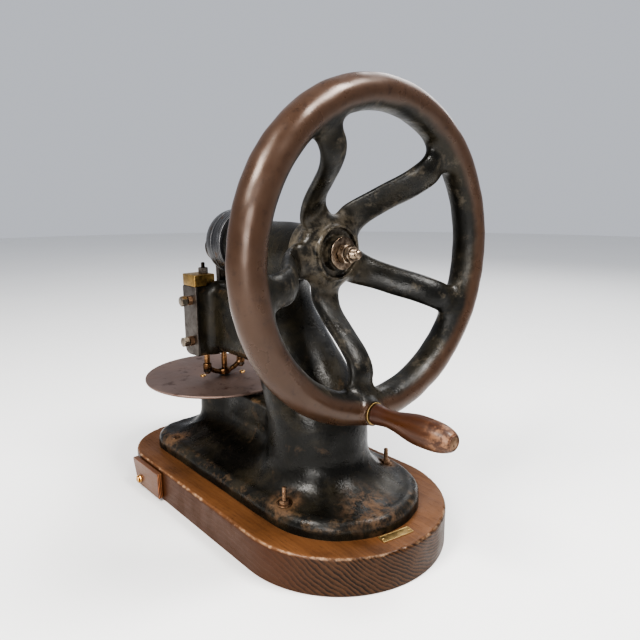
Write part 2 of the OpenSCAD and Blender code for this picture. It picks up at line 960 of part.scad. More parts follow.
wooden_base();
frame_casting();
base_studs();
base_washers();
base_nuts();
base_screws();
nameplate();
nameplate_pins();
front_bush();
rear_bush();
table_disc();
table_collar();
table_screws();
die_insert();
side_plate();
plate_screws();
plate_locknuts();
operator_cap();
rear_cap();
shaft();
crank_disc();
crank_disc_pin();
crank_pin();
shaft_key();
flywheel();
hub_washer();
hub_nut();
lock_nut();
handle_spindle();
handle_washer();
handle_grip();
pitman();
wrist_pin();
ram_slide();
ram_rod();
punch();
foot_rods();
foot_yoke();
foot_nuts();
rod_top_nuts();
foot_springs();
drawer_tray();
drawer_front();
drawer_knob();
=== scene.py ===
"""Hand-cranked bench punching machine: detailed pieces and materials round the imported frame."""
import math

import bmesh
import bpy
import numpy as np
import openvdb
from mathutils import Matrix, Vector


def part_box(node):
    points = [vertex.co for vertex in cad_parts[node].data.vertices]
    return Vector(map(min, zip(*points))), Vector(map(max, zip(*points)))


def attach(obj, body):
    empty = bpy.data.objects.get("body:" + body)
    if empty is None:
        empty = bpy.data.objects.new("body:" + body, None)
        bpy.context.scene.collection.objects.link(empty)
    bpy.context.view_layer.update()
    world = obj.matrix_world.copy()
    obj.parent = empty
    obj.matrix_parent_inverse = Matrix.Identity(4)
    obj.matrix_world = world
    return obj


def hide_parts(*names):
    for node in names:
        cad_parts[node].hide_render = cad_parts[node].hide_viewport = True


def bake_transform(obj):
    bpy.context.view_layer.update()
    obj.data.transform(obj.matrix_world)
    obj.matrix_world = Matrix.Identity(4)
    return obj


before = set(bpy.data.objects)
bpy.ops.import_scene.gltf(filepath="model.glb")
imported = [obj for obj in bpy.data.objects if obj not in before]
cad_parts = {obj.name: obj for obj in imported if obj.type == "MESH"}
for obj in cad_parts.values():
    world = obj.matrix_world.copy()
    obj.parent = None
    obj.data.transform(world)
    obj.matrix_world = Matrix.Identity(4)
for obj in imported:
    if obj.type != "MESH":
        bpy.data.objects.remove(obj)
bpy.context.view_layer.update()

MM = 0.001
PAST = 9 * MM  # how far a cutter runs past the face it opens
SIDES = (-1, 1)  # operator's, rear


def low(node):
    """The lower corner of a node's box."""
    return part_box(node)[0]


def high(node):
    """The upper corner of a node's box."""
    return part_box(node)[1]


def middle(node):
    """The centre of a node's box."""
    return (low(node) + high(node)) / 2


# ---------------------------------------------------------------- places, from the frame

BASE_TOP = high("wooden_base").z
ROUND_R = high("wooden_base").y
ROUND_X = high("wooden_base").x - ROUND_R
CORNER_R = 90 * MM
CORNER_X = low("wooden_base").x + CORNER_R
MARGIN = low("frame_casting").x - low("wooden_base").x

SHAFT_Z = middle("flywheel").z
SHAFT_AXIS = (0, 0, SHAFT_Z)
SHAFT_R = 13 * MM
WHEEL_R = high("flywheel").y
TUBE_X0 = low("front_bush").x + 3.5 * MM
TUBE_X1 = high("rear_bush").x - 1.5 * MM
TUBE_FLANGE_R = high("frame_casting").z - SHAFT_Z
TUBE_R = TUBE_FLANGE_R - 12 * MM
BUSH_R = 21 * MM

STUD_R = 3 * MM
WASHER_R = 9 * MM
STUDS = (
    (low("base_washers").x + WASHER_R, low("base_washers").y + WASHER_R),
    (high("base_washers").x - WASHER_R, high("base_washers").y - WASHER_R),
)
STUD_SEAT = low("base_washers").z
SCREW_HEAD_R = 6.5 * MM
SCREW_Z0 = low("base_screws").z
SCREW_Y = high("base_screws").y - SCREW_HEAD_R
SCREWS = tuple((middle("base_screws").x, side * SCREW_Y) for side in SIDES)
FLANGE_TOP = STUD_SEAT
SCREW_SEAT = FLANGE_TOP - 2 * MM

COLUMN_X = ROUND_X - 38 * MM
COLUMN_R = 68 * MM
COLUMN_TOP = 172 * MM
NECK_X = COLUMN_X - 99 * MM
NECK_R = 53 * MM
NECK_Z = 300 * MM

TABLE = middle("table_disc")
TABLE_R = high("table_disc").y
PEDESTAL_R = high("table_collar").y - 7 * MM
PEDESTAL_TOP = low("table_disc").z - 4 * MM
TABLE_HEAD_R = 4.7 * MM
SPIGOT_R = 12 * MM
DIE_R = 9 * MM
TABLE_SCREWS = (
    (low("table_screws").x + TABLE_HEAD_R, low("table_screws").y + TABLE_HEAD_R),
    (high("table_screws").x - TABLE_HEAD_R, high("table_screws").y - TABLE_HEAD_R),
)

RAM_X = middle("side_plate").x
RAM_AXIS = (RAM_X, 0, 0)
HEAD_X0 = low("side_plate").x
HEAD_X1 = high("side_plate").x
HEAD_Y = -high("side_plate").y
HEAD_Z0 = low("side_plate").z - 3 * MM
HEAD_Z1 = high("side_plate").z
ARM_Y = 32 * MM
SCREW_ROWS = (low("plate_screws").z + 8 * MM, high("plate_screws").z - 8 * MM)
BORE_R = 4.6 * MM
ROD_R = 4.5 * MM
ROD_STEM_R = 3 * MM
COLLAR_R = 7.8 * MM
ROD_SPACING = high("foot_rods").y - COLLAR_R
RODS = tuple((RAM_X, side * ROD_SPACING, 0) for side in SIDES)
SLIDE_Z = 212 * MM  # floor of the ram slide's pocket
POCKET_Z = 240 * MM  # floor of the two spring pockets
POCKET_R = 9 * MM

HUB_X0 = low("flywheel").x
BOSS_X1 = high("flywheel").x
WHEEL_X = BOSS_X1 - 25 * MM
HUB_FACE_X = low("hub_washer").x
HUB_RING_X = HUB_FACE_X - 5 * MM
HUB_X1 = HUB_FACE_X - 12.5 * MM
THREAD_R = 6.5 * MM
PIN_Z = middle("crank_pin").z
PIN_AXIS = (0, 0, PIN_Z)
PIN_R = 7 * MM
EYE_R = 23.5 * MM
WRIST_Z = low("pitman").z + 7 * MM
HANDLE = middle("handle_grip")
HANDLE_AXIS = (0, HANDLE.y, HANDLE.z)
SPINDLE_R = 4.5 * MM

# ---------------------------------------------------------------- distances to shapes, below 0 inside


def blend_min(a, b, reach):
    """The nearer of two distances, with a fillet of about that reach between the shapes."""
    share = np.maximum(reach - np.abs(a - b), 0) / reach
    return np.minimum(a, b) - share * share * reach / 4


def blend_max(a, b, reach):
    """The further of two distances, with the same fillet in the hollow."""
    return -blend_min(-a, -b, reach)


def soft_step(t):
    """0 to 1, level at both ends."""
    t = np.clip(t, 0, 1)
    return t * t * (3 - 2 * t)


def corner_distance(a, b, radius):
    """Distance to where two faces meet in an edge of that radius; a and b are the distances to the faces."""
    a = a + radius
    b = b + radius
    outside = np.hypot(np.maximum(a, 0), np.maximum(b, 0))
    return outside + np.minimum(np.maximum(a, b), 0) - radius


def drum_distance(radial, along, radius, start, end, edge):
    """Distance to a drum; radial is the distance from its axis and along the place on it."""
    return corner_distance(radial - radius, np.abs(along - (start + end) / 2) - (end - start) / 2, edge)


def block_distance(point, start, end, edge):
    """Distance to a block between two corners, with rounded edges."""
    faces = [np.abs(p - (a + b) / 2) - (b - a) / 2 + edge for p, a, b in zip(point, start, end)]
    outside = np.sqrt(sum(np.maximum(f, 0) ** 2 for f in faces))
    inside = np.minimum(np.maximum(np.maximum(faces[0], faces[1]), faces[2]), 0)
    return outside + inside - edge


def oval_distance(u, v, half_u, half_v):
    """About the distance to an oval with those half widths."""
    tiny = 1e-6
    ratio = np.hypot(u / half_u, v / half_v)
    slope = np.hypot(u / half_u**2, v / half_v**2)
    return (ratio + tiny) * (ratio - 1) / (slope + tiny / min(np.min(half_u), half_v))


def outline_distance(x, y, inset):
    """Distance to the outline of the base, drawn in all round: one round end and two rounded corners."""
    half_core = ROUND_R - CORNER_R
    side = np.abs(y) - half_core
    back = CORNER_X - x
    straight = corner_distance(side, back, 0)
    round_end = np.hypot(x - ROUND_X, y) - half_core
    return np.where(x > ROUND_X, round_end, straight) - (CORNER_R - inset)


def neck_distance(x, y, z):
    """Column, the neck that leans from it, and its spread under the tube, as ovals at each height."""
    lean = (z - COLUMN_TOP) / (NECK_Z - COLUMN_TOP)
    lean = blend_min(blend_max(lean, 0 * lean, 0.35), 1 + 0 * lean, 0.2)
    spread = (z - NECK_Z) / (SHAFT_Z - NECK_Z)
    spread = blend_max(spread, 0 * spread, 0.4)
    spread_x = (TUBE_X0 + TUBE_X1) / 2 + 6 * MM
    centre_x = COLUMN_X + lean * (NECK_X - COLUMN_X) + spread * (spread_x - NECK_X)
    half_x = COLUMN_R + lean * (NECK_R - COLUMN_R) + spread * 6 * MM
    half_y = COLUMN_R + lean * (NECK_R - COLUMN_R) - spread * 24 * MM
    oval = (np.hypot((x - centre_x) / half_x, y / half_y) - 1) * half_y * 0.85
    return blend_max(oval, z - SHAFT_Z, 12 * MM)


def casting_distance(x, y, z):
    """The iron frame: flange, pedestal, wall, column, neck, tube, arm and head."""
    inset = outline_distance(x, y, MARGIN)
    shoulder = 14 * MM
    crown = 11 * MM * soft_step((-inset - shoulder - 4 * MM) / (60 * MM))
    shape = corner_distance(inset, z - FLANGE_TOP - crown, shoulder)
    pedestal = drum_distance(np.hypot(x - TABLE.x, y), z, PEDESTAL_R, 60 * MM, PEDESTAL_TOP + 8 * MM, 1 * MM)
    shape = blend_min(shape, pedestal, 27 * MM)
    wall = block_distance(
        (x, y, z), (TABLE.x, -20 * MM, 60 * MM), (COLUMN_X, 20 * MM, PEDESTAL_TOP - 1 * MM), 6 * MM
    )
    shape = blend_min(shape, wall, 26 * MM)
    shape = blend_min(shape, neck_distance(x, y, z), 40 * MM)
    arm = block_distance(
        (x, y, z), (HEAD_X0 + 12 * MM, -ARM_Y, HEAD_Z0 + 9 * MM), (NECK_X, ARM_Y, HEAD_Z1 - 2 * MM), 13 * MM
    )
    head = block_distance(
        (x, y, z), (HEAD_X0, -HEAD_Y - 8 * MM, HEAD_Z0), (HEAD_X1, HEAD_Y, HEAD_Z1 + 8 * MM), 3 * MM
    )
    heel = HEAD_Z0 + 3 * MM * soft_step((x - RAM_X + 4 * MM) / (8 * MM)) - z
    head = blend_max(head, heel, 3 * MM)
    arch = np.hypot(y, z - HEAD_Z0 + 66 * MM) - 70 * MM
    arm = blend_max(blend_min(arm, head, 18 * MM), -arch, 3 * MM)
    shape = blend_min(shape, arm, 24 * MM)
    tube = drum_distance(
        np.hypot(y, z - SHAFT_Z), x, TUBE_R, TUBE_X0 - 8 * MM, TUBE_X1 + 8 * MM, 1 * MM
    )
    flange = drum_distance(
        np.hypot(y, z - SHAFT_Z), x, TUBE_FLANGE_R - 1 * MM, TUBE_X0 - 8 * MM, TUBE_X0 + 22 * MM, 5 * MM
    )
    return blend_min(blend_min(shape, tube, 22 * MM), flange, 9 * MM)


SPOKES = 5
SPOKE_TURN = math.radians(46)
DISH = 79 * MM
RIM_H = 39 * MM
RIM_W = 44 * MM


def spoke_distance(x, y, up, turn):
    """One spoke: an oval bar that bends from the hub to the rim in a smooth double curve."""
    out = y * math.cos(turn) + up * math.sin(turn)
    across = up * math.cos(turn) - y * math.sin(turn)
    length = 92 * MM
    rise = np.clip((out - 50 * MM) / length, 0, 1)
    centre_x = WHEEL_X - 3 * MM - DISH * (1 - soft_step(rise))
    slope = 6 * DISH / length * rise * (1 - rise)
    half_w = 18.5 * MM + 4 * MM * np.exp(-(((out - 46 * MM) / (22 * MM)) ** 2))
    bar = oval_distance(across, (x - centre_x) / np.sqrt(1 + slope**2), half_w, 9.5 * MM)
    return np.maximum(bar, np.abs(out - 100 * MM) - 76 * MM)


def wheel_distance(x, y, z):
    """The flywheel in one casting: rim, spokes, hub with a sunk ring in its face, and the handle's boss."""
    up = z - SHAFT_Z
    radial = np.hypot(y, up)
    spokes = spoke_distance(x, y, up, SPOKE_TURN)
    for i in range(1, SPOKES):
        spokes = blend_min(spokes, spoke_distance(x, y, up, SPOKE_TURN + i * math.tau / SPOKES), 14 * MM)
    shape = blend_min(spokes, drum_distance(radial, x, 40 * MM, HUB_X0, HUB_X1, 6 * MM), 16 * MM)
    rim = oval_distance(radial - WHEEL_R + RIM_H / 2, x - WHEEL_X, RIM_H / 2, RIM_W / 2)
    shape = blend_min(shape, rim, 16 * MM)
    ring = drum_distance(radial, x, 34.5 * MM, HUB_X0 + 10 * MM, HUB_RING_X, 1.8 * MM)
    shape = blend_min(shape, ring, 4 * MM)
    sunk = corner_distance(radial - 30.5 * MM, HUB_X1 - x, 2 * MM)
    shape = blend_max(shape, -sunk, 2 * MM)
    seat = drum_distance(radial, x, 22 * MM, HUB_X0 + 10 * MM, HUB_FACE_X + 4 * MM, 1 * MM)
    shape = blend_min(shape, seat, 2 * MM)
    handle = np.hypot(y - HANDLE.y, z - HANDLE.z)
    boss = drum_distance(handle, x, 15 * MM, WHEEL_X, BOSS_X1 + 4 * MM, 1 * MM)
    return blend_min(shape, boss, 9 * MM)


def pitman_distance(x, y, z):
    """Link with a large eye round the crank pin, a waisted shank and a small eye at the wrist pin."""
    top = high("pitman").z - EYE_R
    foot = WRIST_Z
    thick = np.abs(x - RAM_X) - 6 * MM
    eye = np.hypot(y, z - top) - EYE_R
    waist = 6.6 * MM - 1.2 * MM * np.sin(np.pi * np.clip((z - foot) / (top - foot), 0, 1))
    shank = np.maximum(np.abs(y) - waist, np.maximum(foot - z, z - top))
    small_eye = np.hypot(y, z - foot) - 7 * MM
    return corner_distance(blend_min(blend_min(eye, shank, 12 * MM), small_eye, 1 * MM), thick, 1 * MM)


def yoke_distance(x, y, z):
    """Foot: a bow between the two rods, with a boss at each end and a ring in the middle."""
    side = x - RAM_X
    ring_z = low("foot_yoke").z
    bow_z = ring_z + 4 * MM
    bow_r = 43.6 * MM
    arc = np.abs(np.hypot(y, z - bow_z - bow_r) - bow_r)
    arc = np.maximum(arc, np.abs(y) - ROD_SPACING)
    bow = oval_distance(side, arc, 4 * MM, 4 * MM)
    end = np.hypot(side, np.abs(y) - ROD_SPACING)
    boss = drum_distance(end, z, 6.6 * MM, high("foot_nuts").z, high("foot_yoke").z, 1 * MM)
    ring = drum_distance(np.hypot(side, y), z, 8.7 * MM, ring_z, ring_z + 9 * MM, 1 * MM)
    below = bow_z + bow_r - z
    bow = np.where(below > 0, bow, 20 * MM)
    return blend_min(blend_min(bow, boss, 3 * MM), ring, 4 * MM)


# ---------------------------------------------------------------- meshes

WAYS = {
    "X": ((0, 1, 0), (0, 0, 1), (1, 0, 0)),
    "Z": ((1, 0, 0), (0, 1, 0), (0, 0, 1)),
    "-Y": ((1, 0, 0), (0, 0, 1), (0, -1, 0)),
}


def turned_to(way, origin, points):
    """Points whose third number runs along the axis named by way, moved to origin."""
    return np.asarray(origin, float) + points @ np.array(WAYS[way], float)


def object_of(name, verts, faces):
    """A new object in the scene with these points and faces."""
    mesh = bpy.data.meshes.new(name)
    mesh.from_pydata(np.asarray(verts).tolist(), [], faces)
    mesh.update()
    obj = bpy.data.objects.new(name, mesh)
    bpy.context.scene.collection.objects.link(obj)
    return smoothed(obj)


def smoothed(obj, sharp=32):
    """Smooth shading, but for edges that turn by more than that many degrees."""
    obj.data.shade_smooth()
    obj.data.set_sharp_from_angle(angle=math.radians(sharp))
    return obj


def outward(obj):
    """Turns every face outwards."""
    bm = bmesh.new()
    bm.from_mesh(obj.data)
    bmesh.ops.recalc_face_normals(bm, faces=bm.faces)
    bm.to_mesh(obj.data)
    bm.free()
    return obj


def loft(name, rings, closed=False):
    """A skin over rings of equally many points; it is capped at both ends, or closed on itself."""
    rings = np.asarray(rings)
    count, sides = rings.shape[:2]
    i = np.arange(count if closed else count - 1)[:, None]
    j = np.arange(sides)[None, :]
    after_i = (i + 1) % count
    after_j = (j + 1) % sides
    corners = [i * sides + j, i * sides + after_j, after_i * sides + after_j, after_i * sides + j]
    faces = np.stack(corners, -1).reshape(-1, 4).tolist()
    if not closed:
        faces.append(list(range(sides))[::-1])
        faces.append(list(range((count - 1) * sides, count * sides)))
    return outward(object_of(name, rings.reshape(-1, 3), faces))


def rounded(corners, closed=False, steps=4):
    """Points of an outline given by corners (a, b, radius), with an arc at each corner that has a radius."""
    points = []
    for i, (a, b, radius) in enumerate(corners):
        here = np.array((a, b), float)
        if radius == 0 or (not closed and i in (0, len(corners) - 1)):
            points.append(here)
            continue
        before = np.array(corners[i - 1][:2]) - here
        after = np.array(corners[(i + 1) % len(corners)][:2]) - here
        before /= np.linalg.norm(before)
        after /= np.linalg.norm(after)
        half = math.acos(np.clip(before @ after, -1, 1)) / 2
        bisector = (before + after) / np.linalg.norm(before + after)
        centre = here + bisector * radius / math.sin(half)
        start = before * radius / math.tan(half) + here - centre
        end = after * radius / math.tan(half) + here - centre
        for t in np.linspace(0, 1, steps + 1):
            way = (1 - t) * start + t * end
            points.append(centre + radius * way / np.linalg.norm(way))
    return np.array(points)


def lathe(name, way, origin, profile, closed=False, sides=96):
    """A turned piece; profile holds (radius, place along the axis) from one end to the other."""
    profile = np.asarray(profile, float)
    turn = np.arange(sides) * math.tau / sides
    rings = np.empty((len(profile), sides, 3))
    rings[:, :, 0] = profile[:, :1] * np.cos(turn)
    rings[:, :, 1] = profile[:, :1] * np.sin(turn)
    rings[:, :, 2] = profile[:, 1:]
    return loft(name, turned_to(way, origin, rings), closed)


def washer(name, way, origin, radius, hole, start, end, edge):
    """A flat ring with rounded edges."""
    corners = [(radius, start, edge), (radius, end, edge), (hole, end, edge / 2), (hole, start, edge / 2)]
    return lathe(name, way, origin, rounded(corners, closed=True), closed=True)


def hexagon(name, way, origin, flats, start, end, hole=0, turn=0, sides=72):
    """A hexagonal nut with chamfered corners, or a solid head where there is no hole."""
    angle = np.arange(sides) * math.tau / sides
    flat = flats / 2
    reach = flat / np.cos(angle % (math.tau / 6) - math.tau / 12)
    seat = 0.95 * flat
    drop = (reach - seat) * math.tan(math.radians(28))
    rings = [(seat, start), (reach, start + drop), (reach, end - drop), (seat, end)]
    if hole:
        lip = 0.08 * flat
        rings += [(hole + lip, end), (hole, end - lip), (hole, start + lip), (hole + lip, start)]
    points = np.empty((len(rings), sides, 3))
    for i, (radius, place) in enumerate(rings):
        points[i, :, 0] = radius * np.cos(angle + turn)
        points[i, :, 1] = radius * np.sin(angle + turn)
        points[i, :, 2] = place
    return smoothed(loft(name, turned_to(way, origin, points), closed=bool(hole)), 20)


def threaded(name, way, origin, radius, start, end, pitch, below=(), tip=0, sides=48):
    """A rod with a real screw thread from start to end and a tip rounded over that length.
    below holds (radius, place) for the plain part before it."""
    depth = 0.5 * pitch
    place = np.arange(start, end, pitch / 6)
    angle = np.arange(sides) * math.tau / sides
    phase = (place[:, None] / pitch - angle[None, :] / math.tau) % 1
    fade = np.minimum((place - start) / pitch, 1)[:, None]
    thread = radius - depth * fade * np.abs(2 * phase - 1)
    left = np.clip((end - place) / max(tip, pitch), 0, 1)[:, None]
    limit = radius * (0.35 + 0.65 * np.sqrt(np.clip(1 - (1 - left) ** 2, 0, 1)))
    thread = np.minimum(thread, limit)
    plain = [(np.full(sides, r), np.full(sides, p)) for r, p in below]
    turned = [(r, np.full(sides, p)) for r, p in zip(thread, place)]
    rows = plain + turned
    points = np.empty((len(rows), sides, 3))
    for i, (r, p) in enumerate(rows):
        points[i, :, 0] = r * np.cos(angle)
        points[i, :, 1] = r * np.sin(angle)
        points[i, :, 2] = p
    return loft(name, turned_to(way, origin, points))


def slab(name, start, end, edge):
    """A block between two corners with rounded edges."""
    bm = bmesh.new()
    bmesh.ops.create_cube(bm, size=1)
    centre = (Vector(start) + Vector(end)) / 2
    size = Vector(end) - Vector(start)
    for v in bm.verts:
        v.co = Vector(c * s for c, s in zip(v.co, size)) + centre
    if edge:
        bmesh.ops.bevel(bm, geom=bm.edges[:], offset=edge, segments=3, profile=0.5, affect="EDGES")
    mesh = bpy.data.meshes.new(name)
    bm.to_mesh(mesh)
    bm.free()
    obj = bpy.data.objects.new(name, mesh)
    bpy.context.scene.collection.objects.link(obj)
    return smoothed(obj)


def plate(name, way, origin, outline, thickness, edge):
    """A flat piece cut to an outline, its edges rounded on both sides."""
    outline = np.asarray(outline, float)
    centre = outline.mean(0)
    size = np.abs(outline - centre).max(0)
    rings = []
    for drawn_in, place in rounded([(edge, 0, 0), (0, 0, edge), (0, thickness, edge), (edge, thickness, 0)]):
        shrunk = centre + (outline - centre) * (1 - drawn_in / size)
        rings.append(np.column_stack([shrunk, np.full(len(outline), place)]))
    return loft(name, turned_to(way, origin, np.array(rings)))


def dome(radius, start, height, steep, steps):
    """Rows of a turned profile that close over it as a dome, up to that angle."""
    return [(radius * math.cos(a), start + height * math.sin(a)) for a in np.linspace(0, steep, steps)]


def gradient(shape, points, step=0.2 * MM):
    """Which way the distance grows at each point, and how fast."""
    sides = [shape(*(points + e * step).T) - shape(*(points - e * step).T) for e in np.eye(3)]
    return np.stack(sides, -1) / (2 * step)


def sculpt(name, shape, start, end, voxel):
    """A mesh of the surface where shape is 0, with every point moved exactly onto it."""
    start = np.array(start) - 3 * voxel
    end = np.array(end) + 3 * voxel
    x, y, z = (np.arange(a, b, voxel, dtype=np.float32) for a, b in zip(start, end))
    field = shape(x[:, None, None], y[None, :, None], z[None, None, :]).astype(np.float32)
    grid = openvdb.FloatGrid(4 * voxel)
    grid.copyFromArray(np.clip(field, -4 * voxel, 4 * voxel))
    points, quads = grid.convertToQuads(isovalue=0.0)
    points = start + points.astype(float) * voxel
    for _ in range(3):
        slope = gradient(shape, points)
        steep = np.maximum((slope**2).sum(1), 0.05)
        shift = np.clip(shape(*points.T) / steep, -voxel, voxel)
        points -= shift[:, None] * slope
    return object_of(name, points, quads.tolist())


def coords(obj):
    """The object's points as an array."""
    points = np.empty(len(obj.data.vertices) * 3, np.float32)
    obj.data.vertices.foreach_get("co", points)
    return points.reshape(-1, 3).astype(float)


def uneven(obj, shape, height, size, seed):
    """Moves the points in and out a little, as a hand-moulded casting's face is."""
    random = np.random.default_rng(seed)
    points = coords(obj)
    waves = 0
    for _ in range(10):
        way = random.normal(size=3)
        way /= np.linalg.norm(way)
        length = size * random.uniform(0.6, 1.8)
        waves = waves + np.sin(points @ way * math.tau / length + random.uniform(0, math.tau))
    slope = gradient(shape, points)
    slope /= np.linalg.norm(slope, axis=1)[:, None]
    points += slope * (waves * height / 3)[:, None]
    obj.data.vertices.foreach_set("co", points.astype(np.float32).ravel())
    obj.data.update()


def carve(obj, cutters):
    """Cuts the cutters out of the object, and removes them."""
    for cutter in cutters:
        cut = obj.modifiers.new("cut", "BOOLEAN")
        cut.object = cutter
        cut.operation = "DIFFERENCE"
        cut.solver = "MANIFOLD"
    bpy.context.view_layer.update()
    seen = obj.evaluated_get(bpy.context.evaluated_depsgraph_get())
    mesh = bpy.data.meshes.new_from_object(seen)
    obj.modifiers.clear()
    obj.data = mesh
    mesh.name = obj.name
    for cutter in cutters:
        bpy.data.objects.remove(cutter)
    return smoothed(obj)


def rod_cut(way, origin, radius, start, end, sides=64):
    """A round cutter."""
    return lathe("cut", way, origin, [(radius, start), (radius, end)], sides=sides)


def block_cut(start, end):
    """A cutter with six flat faces."""
    return slab("cut", start, end, 0)


def slotted(screw, spot, turn, floor, half_width):
    """Cuts the screwdriver's slot across a screw's head; floor is how high its bottom lies."""
    bar = block_cut((-9 * MM, -half_width, floor), (9 * MM, half_width, floor + 6 * MM))
    bar.matrix_world = Matrix.Translation(spot) @ Matrix.Rotation(turn, 4, "Z")
    return carve(screw, [bar])


def store(obj, name, values):
    """Keeps one number for each point, for the materials to read."""
    layer = obj.data.attributes.new(name, "FLOAT", "POINT")
    layer.data.foreach_set("value", values.astype(np.float32))


def mark_bends(obj, shape, reach):
    """Stores on each point how far it stands out, as an edge does, and how far it lies in a hollow."""
    points = coords(obj)
    around = sum(shape(*(points + e * reach).T) + shape(*(points - e * reach).T) for e in np.eye(3)) / 6
    bend = (around - shape(*points.T)) / reach
    for name, value in (("edge", bend * 5), ("hollow", -bend * 6)):
        store(obj, name, np.clip(value, 0, 1))


# ---------------------------------------------------------------- materials


class Paint:
    """Short calls that build one material's nodes. A value is a number, a colour or a socket."""

    def __init__(self, name):
        self.material = bpy.data.materials.new(name)
        self.material.use_nodes = True
        self.nodes = self.material.node_tree.nodes
        self.links = self.material.node_tree.links
        self.nodes.clear()
        self.place = self.add("TexCoord").outputs["Object"]

    def add(self, kind, settings=None, **values):
        node = self.nodes.new("ShaderNode" + kind)
        for key, value in (settings or {}).items():
            setattr(node, key, value)
        for key, value in values.items():
            self.set(node.inputs[key.replace("_", " ")], value)
        return node

    def set(self, socket, value):
        if isinstance(value, bpy.types.NodeSocket):
            self.links.new(value, socket)
        elif isinstance(value, tuple) and len(value) == 3 and socket.type == "RGBA":
            socket.default_value = (*value, 1)
        else:
            socket.default_value = value

    def calc(self, kind, a, b=0.0):
        node = self.add("Math", {"operation": kind})
        self.set(node.inputs[0], a)
        self.set(node.inputs[1], b)
        return node.outputs[0]

    def times(self, a, b):
        return self.calc("MULTIPLY", a, b)

    def plus(self, a, b):
        return self.calc("ADD", a, b)

    def length(self, a, b):
        return self.calc("SQRT", self.plus(self.times(a, a), self.times(b, b)))

    def stretched(self, x, y, z, shift=(0, 0, 0)):
        return self.add("Mapping", Vector=self.place, Scale=(x, y, z), Location=shift).outputs[0]

    def noise(self, scale, detail=3, rough=0.55, twist=0.0, at=None):
        node = self.add(
            "TexNoise", Vector=at or self.place, Scale=scale, Detail=detail, Roughness=rough, Distortion=twist
        )
        return node.outputs[0]

    def cells(self, scale):
        return self.add("TexVoronoi", Vector=self.place, Scale=scale).outputs["Distance"]

    def between(self, value, start, end, low_value=0.0, high_value=1.0):
        """value taken from the range start to end into the range of the last two."""
        node = self.add("MapRange", {"interpolation_type": "SMOOTHSTEP"}, Value=value)
        ends = {"From Min": start, "From Max": end, "To Min": low_value, "To Max": high_value}
        for key, number in ends.items():
            node.inputs[key].default_value = number
        return node.outputs[0]

    def mix(self, share, a, b):
        node = self.add("Mix", {"data_type": "RGBA"})
        self.set(node.inputs[0], share)
        self.set(node.inputs[6], a)
        self.set(node.inputs[7], b)
        return node.outputs[2]

    def near(self, point, inside, outside):
        """1 near a point and 0 away from it."""
        gap = self.add("VectorMath", {"operation": "DISTANCE"})
        self.set(gap.inputs[0], self.place)
        gap.inputs[1].default_value = point
        return self.between(gap.outputs["Value"], inside, outside, 1.0, 0.0)

    def parts(self):
        return self.add("SeparateXYZ", Vector=self.place).outputs

    def from_shaft(self):
        """Distance from the shaft's axis."""
        _, y, z = self.parts()
        up = self.calc("SUBTRACT", z, SHAFT_Z)
        return self.length(y, up)

    def stored(self, name):
        return self.add("Attribute", {"attribute_name": name}).outputs["Fac"]

    def edges(self):
        """1 on the outer edges of a piece."""
        return self.between(self.add("NewGeometry").outputs["Pointiness"], 0.52, 0.62)

    def bump(self, height, distance, strength=1.0, normal=None):
        node = self.add("Bump", Height=height, Distance=distance, Strength=strength)
        if normal:
            self.links.new(normal, node.inputs["Normal"])
        return node.outputs[0]

    def done(self, colour, roughness, metallic=0.0, normal=None, **more):
        shader = self.add("BsdfPrincipled", Base_Color=colour, Roughness=roughness, Metallic=metallic)
        for key, value in more.items():
            self.set(shader.inputs[key.replace("_", " ")], value)
        if normal:
            self.links.new(normal, shader.inputs["Normal"])
        end = self.add("OutputMaterial", Surface=shader.outputs[0])
        end.is_active_output = True
        return self.material


def iron_skin(p, share=1.0):
    """Bump of an old painted casting: sand-cast lumps, orange peel and fine pits."""
    lumps = p.bump(p.noise(48, 4, 0.6), 1.8 * MM, p.times(share, 0.5))
    skin = p.bump(p.noise(260, 4, 0.65), 0.5 * MM, p.times(share, 0.7), lumps)
    pits = p.between(p.cells(200), 0.0, 0.25)
    return p.bump(pits, 0.3 * MM, p.times(share, 0.5), skin)


def old_black(p):
    """Near-black paint that turns olive and brown in large clouds and in fine streaks."""
    black = p.mix(p.noise(9, 4), (0.0035, 0.0035, 0.003), (0.010, 0.009, 0.007))
    clouds = p.between(p.noise(13, 6, 0.7, 0.6), 0.44, 0.66, 0.0, 0.75)
    olive = p.mix(p.noise(70, 4, 0.7), (0.013, 0.011, 0.007), (0.040, 0.032, 0.019))
    return p.mix(clouds, black, olive)


def speckle(p, scale, start, end):
    """Crisp ragged patches; start and end say how much of the surface they leave."""
    return p.between(p.noise(scale, 6, 0.74, 0.2), start, end)


